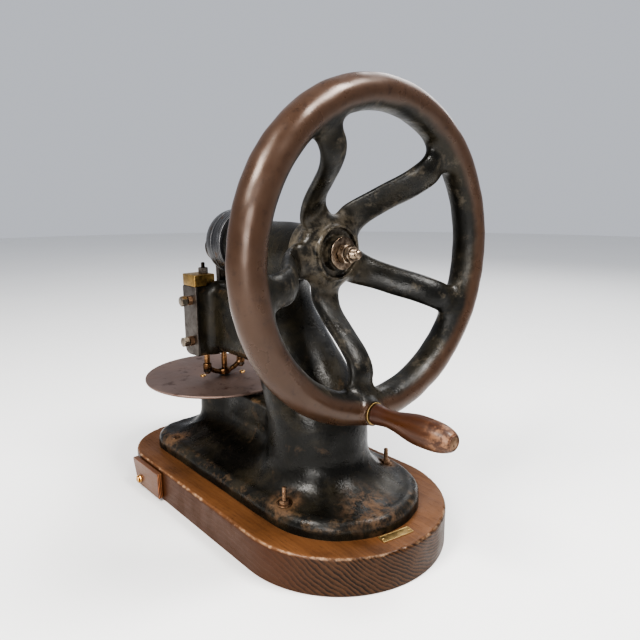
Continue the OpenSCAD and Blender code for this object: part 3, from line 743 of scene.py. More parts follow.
def casting_paint():
    """Near-black paint, worn brown at the edges, dusty in hollows, rusty round the bolts."""
    p = Paint("black_casting")
    brown = p.mix(p.noise(120, 3), (0.050, 0.028, 0.014), (0.100, 0.066, 0.038))
    worn = p.times(p.stored("edge"), speckle(p, 60, 0.44, 0.62))
    colour = p.mix(p.times(speckle(p, 26, 0.58, 0.70), 0.5), old_black(p), brown)
    colour = p.mix(p.between(worn, 0.06, 0.5), colour, brown)
    dust = p.times(p.stored("hollow"), speckle(p, 45, 0.35, 0.7))
    colour = p.mix(p.times(dust, 0.6), colour, (0.070, 0.056, 0.036))
    rust, stain = 0.0, 0.0
    for x, y in STUDS + SCREWS:
        rust = p.calc("MAXIMUM", rust, p.near((x, y, FLANGE_TOP), 10 * MM, 30 * MM))
        stain = p.calc("MAXIMUM", stain, p.near((x, y, FLANGE_TOP), 10 * MM, 18 * MM))
    ends = p.near((ROUND_X + 84 * MM, -20 * MM, FLANGE_TOP), 10 * MM, 55 * MM)
    ends = p.calc("MAXIMUM", p.times(ends, 0.7), rust)
    rusty = p.calc("MAXIMUM", p.times(ends, speckle(p, 75, 0.42, 0.60)), p.times(stain, 0.8))
    rust_colour = p.mix(p.noise(210, 4), (0.080, 0.040, 0.020), (0.190, 0.115, 0.065))
    colour = p.mix(p.times(rusty, 0.85), colour, rust_colour)
    shine = p.between(p.noise(22, 5, 0.65), 0.35, 0.65, 0.21, 0.40)
    rough = p.plus(shine, p.times(rusty, 0.25))
    return p.done(colour, rough, normal=iron_skin(p), Specular_IOR_Level=0.26)


def wheel_paint():
    """Black paint on spokes, hub and the rim's inner side; hand-polished brown iron on its outside."""
    p = Paint("wheel_iron")
    radius = p.from_shaft()
    wander = p.times(p.calc("SUBTRACT", p.noise(26, 4), 0.5), 9 * MM)
    bare = p.between(p.plus(radius, wander), WHEEL_R - 35 * MM, WHEEL_R - 27 * MM)
    scuffed = p.times(speckle(p, 48, 0.52, 0.70), 0.55)
    edge = p.between(p.times(p.stored("edge"), speckle(p, 42, 0.44, 0.70)), 0.25, 0.9, 0.0, 0.7)
    hub = p.between(radius, 36 * MM, 74 * MM, 0.85, 0.0)
    worn = p.calc("MAXIMUM", p.calc("MAXIMUM", scuffed, edge), p.times(hub, speckle(p, 60, 0.38, 0.6)))
    bare_brown = p.mix(p.noise(34, 4, 0.7), (0.055, 0.042, 0.028), (0.155, 0.132, 0.098))
    painted = p.mix(worn, old_black(p), bare_brown)
    brown = p.mix(p.noise(14, 5, 0.65, 0.6), (0.035, 0.018, 0.010), (0.072, 0.039, 0.023))
    brown = p.mix(speckle(p, 90, 0.52, 0.75), brown, (0.026, 0.013, 0.008))
    paint_rough = p.between(p.noise(20, 5, 0.65), 0.35, 0.65, 0.26, 0.46)
    iron_rough = p.between(p.noise(35, 5), 0.35, 0.65, 0.26, 0.36)
    rough = p.mix(bare, paint_rough, iron_rough)
    metal_share = p.times(bare, 0.25)
    skin = iron_skin(p, p.calc("SUBTRACT", 1.0, p.times(bare, 0.85)))
    gloss = p.between(bare, 0.0, 1.0, 0.30, 0.50)
    return p.done(p.mix(bare, painted, brown), rough, metal_share, skin, Specular_IOR_Level=gloss)


GRIME = (0.03, 0.022, 0.016)


def metal(name, bright, dull, shine=(0.28, 0.5), grime=GRIME, dirt=0.5, grain=(1, 1, 1), dark_above=None):
    """Aged bare metal: clean and dull patches, brighter edges, dirt specks and fine scratches.
    Above the height dark_above it is dark with oil and dirt."""
    p = Paint(name)
    colour = p.mix(p.between(p.noise(95, 4, 0.65), 0.35, 0.68), bright, dull)
    specks = p.between(p.noise(260, 4, 0.7), 0.60 - 0.12 * dirt, 0.78 - 0.12 * dirt)
    colour = p.mix(p.times(specks, dirt), colour, grime)
    colour = p.mix(p.times(p.edges(), 0.7), colour, tuple(min(1.0, 1.5 * c) for c in bright))
    if dark_above:
        colour = p.mix(p.between(p.parts()[2], dark_above, dark_above + 1 * MM), colour, grime)
    rough = p.plus(p.between(p.noise(150, 4), 0.3, 0.7, *shine), p.times(specks, 0.25))
    lines = p.noise(900, 2, at=p.stretched(*grain))
    normal = p.bump(lines, 0.05 * MM, 0.5, p.bump(p.noise(500, 3), 0.12 * MM, 0.5))
    return p.done(colour, rough, 1.0, normal)


def crank_iron():
    """Glossy blue-black turned iron with fine rings from the lathe."""
    p = Paint("crank_iron")
    lines = p.add("CombineXYZ", X=p.parts()[0], Y=p.from_shaft()).outputs[0]
    rings = p.between(p.noise(480, 4, 0.75, at=lines), 0.3, 0.7)
    colour = p.mix(rings, (0.010, 0.011, 0.014), (0.130, 0.128, 0.130))
    colour = p.mix(p.between(p.noise(40, 5, 0.7), 0.56, 0.68), colour, (0.060, 0.035, 0.020))
    rough = p.between(rings, 0.3, 0.7, 0.22, 0.40)
    normal = p.bump(rings, 0.10 * MM, 0.7, p.bump(p.noise(160, 3), 0.25 * MM, 0.4))
    return p.done(colour, rough, 0.75, normal)


def wood(name, light, dark, pith, ring, coat, end_grain_and_highlight=1.0, sides=None, fade=None):
    """Sawn and varnished wood with real growth rings, so that the grain runs along X and turns at the ends.
    pith is where the rings' axis lies in Y and Z, and ring how far apart they are. The end factor scales the
    colour of faces that look along X: below 1 it darkens sawn end grain, above 1 it paints a highlight on lit
    ends.
    sides holds the two darker colours of standing faces, painted shade, and fade is that of worn edges."""
    p = Paint(name)
    wavy = p.noise(7, 3, at=p.stretched(0.35, 1, 1))
    _, y, z = p.parts()
    side = p.calc("SUBTRACT", y, pith[0])
    up = p.calc("SUBTRACT", z, pith[1])
    far = p.length(side, up)
    far = p.plus(far, p.times(wavy, 3.5 * ring))
    far = p.plus(far, p.times(p.noise(38, 4, 0.6), 1.6 * ring))
    facing = p.add("SeparateXYZ", Vector=p.add("NewGeometry").outputs["Normal"]).outputs
    ends = p.between(p.calc("ABSOLUTE", facing[0]), 0.25, 0.8)
    upright_shade = p.between(p.calc("ABSOLUTE", facing[2]), 0.2, 0.8, 1.0, 0.0)
    phase = p.calc("FRACT", p.calc("DIVIDE", far, ring))
    late = p.times(p.between(phase, 0.15, 0.85), p.between(phase, 0.92, 1.0, 1.0, 0.0))
    fibre = p.noise(1.0, 5, 0.65, at=p.stretched(22, 520, 520))
    streak = p.noise(1.0, 4, 0.6, at=p.stretched(3.5, 60, 60))
    contrast = p.between(p.plus(ends, p.noise(30, 3)), 0.3, 1.5, 0.10, 0.75)
    tone = p.plus(p.times(late, contrast), p.times(fibre, 0.38))
    colour = p.mix(tone, light, dark)
    colour = p.mix(p.between(streak, 0.45, 0.75, 0.0, 0.45), colour, dark)
    pores = p.between(p.noise(1.0, 2, 0.5, at=p.stretched(60, 1500, 1500)), 0.62, 0.72)
    colour = p.mix(p.times(pores, 0.5), colour, tuple(0.35 * c for c in dark))
    grime = p.between(p.noise(13, 5, 0.7), 0.50, 0.72)
    colour = p.mix(p.times(grime, 0.45), colour, tuple(0.4 * c for c in dark))
    # Standing faces take the darker sides colours: painted shade.
    if sides:
        colour = p.mix(upright_shade, colour, p.mix(tone, *sides))
    # Faces along X: below 1 the factor darkens end grain; above 1 it paints a highlight on lit end faces.
    if end_grain_and_highlight != 1:
        end_light = tuple(end_grain_and_highlight * c for c in light)
        end_deep = tuple(0.22 * end_grain_and_highlight * c for c in dark)
        broken = p.times(late, p.between(p.noise(55, 5, 0.7), 0.30, 0.60, 0.35, 1.0))
        colour = p.mix(p.times(ends, 0.92), colour, p.mix(broken, end_light, end_deep))
    if fade:
        worn = p.between(p.times(p.stored("edge"), p.noise(60, 5, 0.7)), 0.34, 0.56)
        colour = p.mix(p.times(worn, 0.7), colour, fade)
    rough = p.plus(p.between(p.noise(30, 4), 0.3, 0.7, 0.34, 0.52), p.times(pores, 0.2))
    grain = p.plus(p.times(fibre, 0.6), p.times(pores, -0.8))
    normal = p.bump(grain, 0.22 * MM, 0.6, p.bump(late, 0.15 * MM, 0.4))
    return p.done(colour, rough, 0.0, normal, Coat_Weight=coat, Coat_Roughness=0.22, Specular_IOR_Level=0.22)


def table_steel():
    """Dark brownish steel with a purple cast, stains and a haze of fine scratches."""
    p = Paint("table_steel")
    colour = p.mix(p.noise(12, 5, 0.65, 0.4), (0.130, 0.088, 0.074), (0.290, 0.215, 0.185))
    colour = p.mix(p.between(p.noise(40, 5, 0.7), 0.55, 0.72), colour, (0.090, 0.050, 0.036))
    scratch = p.noise(1.0, 3, 0.6, at=p.stretched(900, 40, 40))
    rough = p.between(p.noise(16, 4), 0.3, 0.7, 0.40, 0.60)
    normal = p.bump(scratch, 0.04 * MM, 0.4, p.bump(p.noise(220, 4), 0.10 * MM, 0.5))
    return p.done(colour, rough, 0.85, normal)


def grip_wood():
    """Polished reddish hardwood, darker in the waist and scuffed pale at the free end."""
    p = Paint("grip_wood")
    fibre = p.noise(1.0, 5, 0.65, 0.4, at=p.stretched(14, 190, 190))
    streak = p.noise(1.0, 3, at=p.stretched(5, 60, 60, (3, 1, 2)))
    colour = p.mix(fibre, (0.078, 0.029, 0.011), (0.020, 0.008, 0.004))
    colour = p.mix(p.between(streak, 0.45, 0.7, 0.0, 0.6), colour, (0.026, 0.009, 0.006))
    x, _, _ = p.parts()
    end = p.between(x, high("handle_grip").x - 42 * MM, high("handle_grip").x - 3 * MM)
    scuffs = speckle(p, 120, 0.44, 0.62)
    colour = p.mix(p.times(p.times(end, scuffs), 0.75), colour, (0.230, 0.120, 0.065))
    root = p.between(x, low("handle_grip").x + 4 * MM, low("handle_grip").x + 30 * MM, 0.55, 0.0)
    colour = p.mix(root, colour, (0.035, 0.012, 0.008))
    rough = p.plus(p.between(fibre, 0.3, 0.7, 0.26, 0.44), p.times(end, 0.15))
    normal = p.bump(fibre, 0.25 * MM, 0.7, p.bump(p.noise(70, 3), 0.6 * MM, 0.4))
    return p.done(colour, rough, 0.0, normal, Coat_Weight=0.12, Coat_Roughness=0.25, Specular_IOR_Level=0.35)


def floor_paper():
    """Plain pale floor with a faint tone."""
    p = Paint("floor")
    colour = p.mix(p.noise(3, 3), (0.80, 0.80, 0.80), (0.83, 0.83, 0.82))
    return p.done(colour, 0.9)


MATERIALS = {
    "base_wood": wood(
        "base_wood", (0.140, 0.064, 0.027), (0.055, 0.021, 0.008), (0.07, 0.17), 4.4 * MM, 0.06,
        # sides paints shade on the plank's standing faces; the darker ends are its end grain.
        end_grain_and_highlight=0.44, sides=((0.058, 0.021, 0.007), (0.024, 0.008, 0.003)), fade=(0.330, 0.220, 0.140),
    ),
    "drawer_wood": wood(
        "drawer_wood", (0.120, 0.048, 0.021), (0.048, 0.018, 0.009), (-0.30, 0.06), 3.4 * MM, 0.4,
        # A factor of 3 on the ends paints a highlight on the drawer board's lit end faces.
        end_grain_and_highlight=3.0, fade=(0.110, 0.052, 0.026),
    ),
    "tray_wood": wood("tray_wood", (0.330, 0.190, 0.090), (0.190, 0.095, 0.040), (-0.10, -0.10), 3 * MM, 0.0),
    "grip_wood": grip_wood(),
    "black_casting": casting_paint(),
    "wheel_iron": wheel_paint(),
    "crank_iron": crank_iron(),
    "table_steel": table_steel(),
    "dark_steel": metal("dark_steel", (0.10, 0.085, 0.07), (0.035, 0.026, 0.02), (0.26, 0.42)),
    "plate_steel": metal(
        "plate_steel", (0.145, 0.130, 0.118), (0.085, 0.072, 0.062), (0.36, 0.52), dirt=0.35,
        grain=(0.1, 1, 1),
    ),
    "turned_steel": metal("turned_steel", (0.34, 0.30, 0.25), (0.14, 0.105, 0.075), (0.24, 0.42), dirt=0.6),
    "hub_iron": metal("hub_iron", (0.27, 0.215, 0.165), (0.10, 0.070, 0.050), (0.22, 0.40), dirt=0.55),
    "rusty_steel": metal(
        "rusty_steel", (0.25, 0.165, 0.11), (0.13, 0.080, 0.05), (0.42, 0.66), (0.04, 0.018, 0.009), 0.7
    ),
    "cap_brass": metal("cap_brass", (0.36, 0.24, 0.095), (0.18, 0.115, 0.05), (0.30, 0.48), dirt=0.5),
    "screw_brass": metal("screw_brass", (0.72, 0.46, 0.20), (0.42, 0.24, 0.10), (0.22, 0.38), dirt=0.3),
    "bush_bronze": metal("bush_bronze", (0.44, 0.25, 0.11), (0.20, 0.11, 0.055), (0.30, 0.46), dirt=0.5),
    "foot_bronze": metal(
        "foot_bronze", (0.28, 0.16, 0.082), (0.085, 0.048, 0.028), (0.24, 0.42), dirt=0.7,
        dark_above=high("operator_cap").z,
    ),
    "mark_brass": metal("mark_brass", (0.42, 0.31, 0.15), (0.22, 0.15, 0.07), (0.34, 0.5), dirt=0.35),
    "spring_steel": metal("spring_steel", (0.30, 0.28, 0.26), (0.14, 0.12, 0.10), (0.25, 0.4)),
}


def dress(obj, slot_name):
    """Gives the object the finish of its slot and no other."""
    obj.data.materials.clear()
    obj.data.materials.append(MATERIALS[slot_name])


def add_piece(obj, name, body, slot_name, *nodes):
    """Names the piece, gives it its finish, and says what it stands for and moves with."""
    obj.name = name
    dress(obj, slot_name)
    if nodes:
        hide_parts(*nodes)
    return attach(obj, body)


def join(objs):
    """One object made of several."""
    bm = bmesh.new()
    for obj in objs:
        bm.from_mesh(obj.data)
    bm.to_mesh(objs[0].data)
    bm.free()
    for obj in objs[1:]:
        bpy.data.objects.remove(obj)
    return smoothed(objs[0])


# ---------------------------------------------------------------- base and drawer


def base_outline(drawn_in, count=420):
    """Points evenly spread round the base's outline, drawn in all round, and how far round each lies."""
    half = ROUND_R - drawn_in
    corner = CORNER_R - drawn_in
    half_core = ROUND_R - CORNER_R
    arcs = [
        ((ROUND_X, 0), half, -90, 90),
        ((CORNER_X, half_core), corner, 90, 180),
        ((CORNER_X, -half_core), corner, 180, 270),
    ]
    dense = []
    for (x, y), radius, start, end in arcs:
        turn = np.radians(np.linspace(start, end, 240))
        dense.append(np.column_stack([x + radius * np.cos(turn), y + radius * np.sin(turn)]))
    dense = np.vstack(dense + [dense[0][:1]])
    run = np.concatenate([[0], np.cumsum(np.linalg.norm(np.diff(dense, axis=0), axis=1))])
    even = np.linspace(0, run[-1], count, endpoint=False)
    return np.column_stack([np.interp(even, run, dense[:, i]) for i in (0, 1)]), even / run[-1]


def make_base():
    """The plank: rounded edges with dents and chips along the top one."""
    corners = [(3 * MM, 0, 0), (0, 0, 2 * MM), (0, BASE_TOP, 4.5 * MM), (9 * MM, BASE_TOP, 0)]
    profile = rounded(corners, steps=7)
    side = [(0, z) for z in np.linspace(4 * MM, BASE_TOP - 7 * MM, 12)]
    split = next(i for i, row in enumerate(profile) if row[1] > 3 * MM)
    profile = np.vstack([profile[:split], side, profile[split:]])
    random = np.random.default_rng(7)
    rings = []
    waves = [(random.integers(20, 160), random.uniform(0, math.tau)) for _ in range(14)]
    for drawn_in, z in profile:
        outline, places = base_outline(drawn_in)
        rings.append(np.column_stack([outline, np.full(len(outline), z)]))
    rings = np.array(rings)
    chips = sum(np.sin(math.tau * n * places + shift) for n, shift in waves) / 4
    chips = np.clip(chips - 0.35, 0, 1.2) * 1.6 * MM
    top_edge = np.exp(-(((profile[:, 1] - BASE_TOP) / (5 * MM)) ** 2)) * (profile[:, 0] < 5 * MM)
    centre = np.array((-20 * MM, 0, 0))
    inward = centre - rings
    inward[:, :, 2] = 0
    inward /= np.linalg.norm(inward, axis=2)[:, :, None]
    rings += inward * (top_edge[:, None] * chips[None, :])[:, :, None]
    base = loft("base", rings)
    tray_low, tray_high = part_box("drawer_tray")
    gap = Vector((0.8 * MM,) * 3)
    cuts = [block_cut((tray_low.x - gap.x, -ROUND_R - 20 * MM, tray_low.z - gap.z), tray_high + gap)]
    for x, y in STUDS:
        cuts.append(rod_cut("Z", (x, y, 0), STUD_R, 12 * MM, BASE_TOP + 5 * MM, 32))
    for x, y in SCREWS:
        cuts.append(rod_cut("Z", (x, y, 0), STUD_R, SCREW_Z0 - 1 * MM, BASE_TOP + 5 * MM, 32))
    carve(base, cuts)
    points = coords(base)
    inside = -outline_distance(points[:, 0], points[:, 1], 0)
    drop = BASE_TOP - points[:, 2]
    edge = np.exp(-((inside**2 + drop**2) / (5 * MM) ** 2))
    store(base, "edge", edge)
    add_piece(base, "base", "frame", "base_wood", "wooden_base")


def make_drawer():
    """The drawer's board, slanted at one end, and its turned knob."""
    start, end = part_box("drawer_front")
    slant = 14 * MM
    corners = [
        (start.x, end.z, 3 * MM), (start.x + slant, start.z, 4 * MM), (end.x, start.z, 1.5 * MM),
        (end.x, end.z, 1.5 * MM),
    ]
    outline = rounded(corners, closed=True)
    front = plate("front", "-Y", (0, end.y, 0), outline, end.y - start.y, 1.2 * MM)
    store(front, "edge", np.ones(len(front.data.vertices)))
    add_piece(front, "drawer_board", "drawer", "drawer_wood", "drawer_front")
    knob = middle("drawer_knob")
    reach = -low("drawer_knob").y + start.y
    radius = high("drawer_knob").z - knob.z
    foot_r = 0.85 * radius
    profile = rounded(
        [
            (3 * MM, -4 * MM, 0), (3 * MM, 0, 0), (foot_r, 0, 0.5 * MM), (foot_r, 1.2 * MM, 0.5 * MM),
            (0.45 * radius, 0.35 * reach, 1.5 * MM), (radius, 0.62 * reach, 1.6 * MM),
            (0.8 * radius, reach, 1.6 * MM), (0.2 * radius, reach, 0),
        ]
    )
    turned = lathe("knob", "-Y", (knob.x, start.y, knob.z), profile, sides=48)
    add_piece(turned, "knob", "drawer", "screw_brass", "drawer_knob")


# ---------------------------------------------------------------- casting and its fixings


def make_casting():
    """The iron frame in one piece, faced and bored where other parts bear on it or enter it."""
    start = (low("frame_casting").x, low("frame_casting").y, BASE_TOP - 6 * MM)
    end = high("frame_casting") + Vector((0, 0, 4 * MM))
    casting = sculpt("casting", casting_distance, start, end, 2.2 * MM)
    uneven(casting, casting_distance, 0.30 * MM, 34 * MM, 3)
    far = 600 * MM
    before_head = HEAD_X0 - 10 * MM
    above_head = HEAD_Z1 + 20 * MM
    pedestal = TABLE.xy.to_3d()
    cuts = [
        block_cut((-far, -far, -far), (far, far, BASE_TOP)),
        block_cut((TUBE_X0 - 30 * MM, -60 * MM, above_head), (TUBE_X0, 60 * MM, far)),
        block_cut((TUBE_X1, -60 * MM, SHAFT_Z - 50 * MM), (TUBE_X1 + 20 * MM, 60 * MM, far)),
        block_cut((before_head, -90 * MM, HEAD_Z0 - 10 * MM), (HEAD_X1 + 2 * MM, -HEAD_Y, above_head)),
        block_cut((before_head, -90 * MM, HEAD_Z1), (HEAD_X1 + 1 * MM, 90 * MM, above_head)),
        rod_cut("Z", pedestal, PEDESTAL_R + 20 * MM, PEDESTAL_TOP, PEDESTAL_TOP + 20 * MM),
        rod_cut("X", SHAFT_AXIS, BUSH_R, TUBE_X0 - 20 * MM, TUBE_X1 + 20 * MM),
        block_cut((RAM_X - 13 * MM, -16 * MM, SLIDE_Z), (RAM_X + 13 * MM, 16 * MM, HEAD_Z1 + PAST)),
        rod_cut("Z", RAM_AXIS, BORE_R, HEAD_Z0 - PAST, SLIDE_Z + 1 * MM, 32),
        rod_cut("Z", pedestal, SPIGOT_R, PEDESTAL_TOP - 26 * MM, PEDESTAL_TOP + PAST),
    ]
    for rod in RODS:
        cuts.append(rod_cut("Z", rod, BORE_R, HEAD_Z0 - PAST, POCKET_Z + 10 * MM, 32))
        cuts.append(rod_cut("Z", rod, POCKET_R, POCKET_Z, HEAD_Z1 + PAST, 48))
    for x, y in STUDS:
        cuts.append(rod_cut("Z", (x, y, 0), STUD_R, BASE_TOP - PAST, STUD_SEAT + PAST, 32))
        cuts.append(rod_cut("Z", (x, y, 0), 11 * MM, STUD_SEAT, STUD_SEAT + 20 * MM, 48))
    for x, y in SCREWS:
        cuts.append(rod_cut("Z", (x, y, 0), STUD_R, BASE_TOP - PAST, FLANGE_TOP, 32))
        cuts.append(rod_cut("Z", (x, y, 0), 6.7 * MM, SCREW_SEAT, FLANGE_TOP + 20 * MM, 48))
    for z in SCREW_ROWS:
        cuts.append(rod_cut("-Y", (middle("plate_screws").x, -HEAD_Y, z), STUD_R, -12 * MM, PAST, 32))
    carve(casting, cuts)
    mark_bends(casting, casting_distance, 5 * MM)
    add_piece(casting, "casting", "frame", "black_casting", "frame_casting")


def make_base_fixings():
    """Two studs with washers and nuts at the round end, and two slotted screws at the table end."""
    top = high("base_studs").z
    nut_low, nut_high = low("base_nuts").z, high("base_nuts").z
    thread_low = nut_high - 2.5 * MM
    plain = [(0.9 * STUD_R, 14 * MM), (STUD_R, 14.5 * MM), (STUD_R, nut_high - 3 * MM)]
    studs, washers, nuts, screws = [], [], [], []
    for (x, y), turn in zip(STUDS, (0.3, 0.9)):
        here = (x, y, 0)
        stud = threaded("stud", "Z", here, STUD_R, thread_low, top, 1 * MM, plain, tip=1.2 * MM, sides=32)
        studs.append(stud)
        washers.append(washer("washer", "Z", here, WASHER_R, STUD_R, STUD_SEAT, nut_low, 0.5 * MM))
        nuts.append(hexagon("nut", "Z", here, 11 * MM, nut_low, nut_high, STUD_R, turn))
    profile = rounded(
        [
            (0.6 * STUD_R, SCREW_Z0, 0), (STUD_R, SCREW_Z0 + 3 * MM, 0), (STUD_R, SCREW_SEAT, 0),
            (SCREW_HEAD_R, SCREW_SEAT, 0.3 * MM), (SCREW_HEAD_R, SCREW_SEAT + 1.8 * MM, 0.6 * MM),
            (0.6 * SCREW_HEAD_R, SCREW_SEAT + 2.7 * MM, 2 * MM), (0.1 * MM, high("base_screws").z, 0),
        ]
    )
    for (x, y), turn in zip(SCREWS, (-0.6, 0.6)):
        here = (x, y, 0)
        screw = lathe("screw", "Z", here, profile, sides=64)
        screws.append(slotted(screw, here, turn, SCREW_SEAT + 1.5 * MM, 0.7 * MM))
    for name, objs, node in (
        ("studs", studs, "base_studs"), ("stud_washers", washers, "base_washers"),
        ("stud_nuts", nuts, "base_nuts"), ("flange_screws", screws, "base_screws"),
    ):
        add_piece(join(objs), name, "frame", "rusty_steel", node)


def make_nameplate():
    """Blank brass plate with a raised border, held by two domed pins."""
    turn = Matrix.Rotation(math.radians(-10), 3, "Z")
    centre = middle("nameplate")
    base_z = low("nameplate").z
    half_w, half_l, thick = 6.5 * MM, 22.5 * MM, 1 * MM
    pin_r = 1.5 * MM
    outlines = []
    for inset, z in ((0.2, 0), (0, 0.2), (0, 0.8), (0.2, 1.0), (1.3, 1.0), (1.7, 0.6)):
        w = half_w - inset * MM
        h = half_l - inset * MM
        radius = max(1.6 - 0.5 * inset, 0.4) * MM
        corners = [(-w, -h, radius), (w, -h, radius), (w, h, radius), (-w, h, radius)]
        flat = rounded(corners, closed=True)
        outlines.append(np.column_stack([flat, np.full(len(flat), base_z + z * thick)]))
    rings = np.array(outlines) @ np.array(turn).T
    rings[:, :, :2] += np.array((centre.x, centre.y))
    add_piece(loft("plate", rings), "blank_plate", "frame", "mark_brass", "nameplate")
    profile = [(pin_r, 0.3 * MM), *dome(pin_r, 0.6 * MM, 1.2 * MM, 1.45, 7)]
    pins = []
    for side in SIDES:
        spot = turn @ Vector((0, side * (half_l - 3 * MM), 0))
        here = (centre.x + spot.x, centre.y + spot.y, base_z)
        pins.append(lathe("pin", "Z", here, profile, sides=32))
    add_piece(join(pins), "plate_pins", "frame", "mark_brass", "nameplate_pins")


def make_bushes():
    """A flanged bronze bush in each end of the tube."""
    hole = 16 * MM
    flange_r = 26 * MM
    for node, tube_end, flange_end, other_end in (
        ("front_bush", TUBE_X0, low("front_bush").x, high("front_bush").x),
        ("rear_bush", TUBE_X1, high("rear_bush").x, low("rear_bush").x),
    ):
        corners = [
            (flange_r, tube_end, 0), (flange_r, flange_end, 0.6 * MM), (hole, flange_end, 0.8 * MM),
            (hole, other_end, 0.5 * MM), (BUSH_R, other_end, 0.5 * MM), (BUSH_R, tube_end, 0),
        ]
        bush = lathe("bush", "X", SHAFT_AXIS, rounded(corners, closed=True), closed=True)
        add_piece(bush, node + "_ring", "frame", "bush_bronze", node)


# ---------------------------------------------------------------- table and head


def make_table():
    """Round table with its collar, two slotted brass screws and the die under the punch."""
    start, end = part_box("table_disc")
    axis = (TABLE.x, 0, 0)
    edge = 1.4 * MM
    inner = 0.3 * TABLE_R
    corners = [(inner, start.z, 0), (TABLE_R, start.z, edge), (TABLE_R, end.z, edge), (inner, end.z, 0)]
    disc = lathe("disc", "Z", axis, rounded(corners), sides=240)
    cuts = [rod_cut("Z", RAM_AXIS, DIE_R, start.z - 5 * MM, end.z + 5 * MM)]
    for x, y in TABLE_SCREWS:
        cuts.append(rod_cut("Z", (x, y, 0), 2.5 * MM, start.z - 5 * MM, end.z + 5 * MM, 32))
    add_piece(carve(disc, cuts), "table", "frame", "table_steel", "table_disc")
    collar_low, collar_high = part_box("table_collar")
    radius = collar_high.y
    corners = [
        (SPIGOT_R, collar_low.z, 0), (SPIGOT_R, PEDESTAL_TOP, 0), (radius, PEDESTAL_TOP, 0.8 * MM),
        (radius, collar_high.z, 0.8 * MM), (0.5 * radius, collar_high.z, 0),
    ]
    add_piece(lathe("collar", "Z", axis, rounded(corners)), "collar", "frame", "dark_steel", "table_collar")
    shank = [(2.4 * MM, start.z - 3 * MM), (2.4 * MM, end.z), (TABLE_HEAD_R, end.z)]
    profile = shank + dome(TABLE_HEAD_R, end.z + 0.9 * MM, 1.5 * MM, 1.5, 9)
    heads = []
    for (x, y), turn in zip(TABLE_SCREWS, (-0.9, 0.5)):
        head = lathe("head", "Z", (x, y, 0), profile, sides=64)
        heads.append(slotted(head, (x, y, 0), turn, end.z + 1.1 * MM, 0.5 * MM))
    add_piece(join(heads), "table_screw_heads", "frame", "screw_brass", "table_screws")
    # The die takes dark steel as a painted shadow under the foot, in place of bright steel.
    die = washer("die", "Z", RAM_AXIS, DIE_R, 2.8 * MM, start.z, end.z, 0.3 * MM)
    add_piece(die, "die", "frame", "dark_steel", "die_insert")


def make_head():
    """Steel side plate with its two screws and lock nuts, and the two brass caps."""
    start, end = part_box("side_plate")
    corners = [
        (start.x, start.z, 9 * MM), (end.x, start.z, 2.5 * MM), (end.x, end.z, 1.5 * MM),
        (start.x, end.z, 3 * MM),
    ]
    outline = rounded(corners, closed=True, steps=8)
    side = plate("plate", "-Y", (0, end.y, 0), outline, end.y - start.y, 0.7 * MM)
    screw_x = middle("plate_screws").x
    cuts = [rod_cut("-Y", (screw_x, end.y, z), STUD_R, -5 * MM, PAST, 32) for z in SCREW_ROWS]
    add_piece(carve(side, cuts), "steel_side", "frame", "plate_steel", "side_plate")
    reach = start.y - low("plate_screws").y
    shank_end = reach - 9 * MM
    thread_end = shank_end + 1 * MM
    plain = [(0.9 * STUD_R, -14 * MM), (STUD_R, -13 * MM), (STUD_R, -1 * MM)]
    screws, locks = [], []
    for z, turn in zip(SCREW_ROWS, (math.radians(12), math.radians(31))):
        here = (screw_x, start.y, z)
        screws.append(threaded("shank", "-Y", here, STUD_R, -0.8 * MM, thread_end, 1 * MM, plain, sides=32))
        screws.append(hexagon("head", "-Y", here, 13.8 * MM, shank_end, reach, turn=turn))
        locks.append(hexagon("lock", "-Y", here, 13 * MM, 0, 7 * MM, STUD_R, turn + 0.5))
    add_piece(join(screws), "side_screws", "frame", "turned_steel", "plate_screws")
    add_piece(join(locks), "side_lock_nuts", "frame", "rusty_steel", "plate_locknuts")
    hole_r = 3.1 * MM
    for node, rod in zip(("operator_cap", "rear_cap"), RODS):
        start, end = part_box(node)
        cap = slab("cap", (start.x, start.y, HEAD_Z1), end, 1.3 * MM)
        hole = rod_cut("Z", rod, hole_r, HEAD_Z1 - PAST, end.z + PAST, 48)
        plug = washer("plug", "Z", rod, POCKET_R, hole_r, start.z, HEAD_Z1 + 0.3 * MM, 0.4 * MM)
        add_piece(join([carve(cap, [hole]), plug]), node + "_block", "frame", "cap_brass", node)


# ---------------------------------------------------------------- wheel, shaft and crank


def make_wheel():
    """The flywheel, faced and bored for the shaft, its key and the handle's spindle."""
    start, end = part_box("flywheel")
    wheel = sculpt("wheel", wheel_distance, start, end + Vector((4 * MM, 0, 0)), 2.0 * MM)
    uneven(wheel, wheel_distance, 0.22 * MM, 40 * MM, 5)
    key_top = SHAFT_Z + 16.5 * MM
    cuts = [
        rod_cut("X", SHAFT_AXIS, 24 * MM, HUB_FACE_X, HUB_FACE_X + 12 * MM),
        rod_cut("X", HANDLE_AXIS, 24 * MM, BOSS_X1, BOSS_X1 + 12 * MM),
        rod_cut("X", SHAFT_AXIS, SHAFT_R, HUB_X0 - PAST, HUB_FACE_X + 14 * MM),
        block_cut((HUB_X0 - PAST, -3.5 * MM, SHAFT_Z), (HUB_X0 + 41 * MM, 3.5 * MM, key_top)),
        rod_cut("X", HANDLE_AXIS, SPINDLE_R, WHEEL_X - 14 * MM, BOSS_X1 + 14 * MM, 32),
    ]
    carve(wheel, cuts)
    mark_bends(wheel, wheel_distance, 5 * MM)
    add_piece(wheel, "wheel", "flywheel", "wheel_iron", "flywheel")


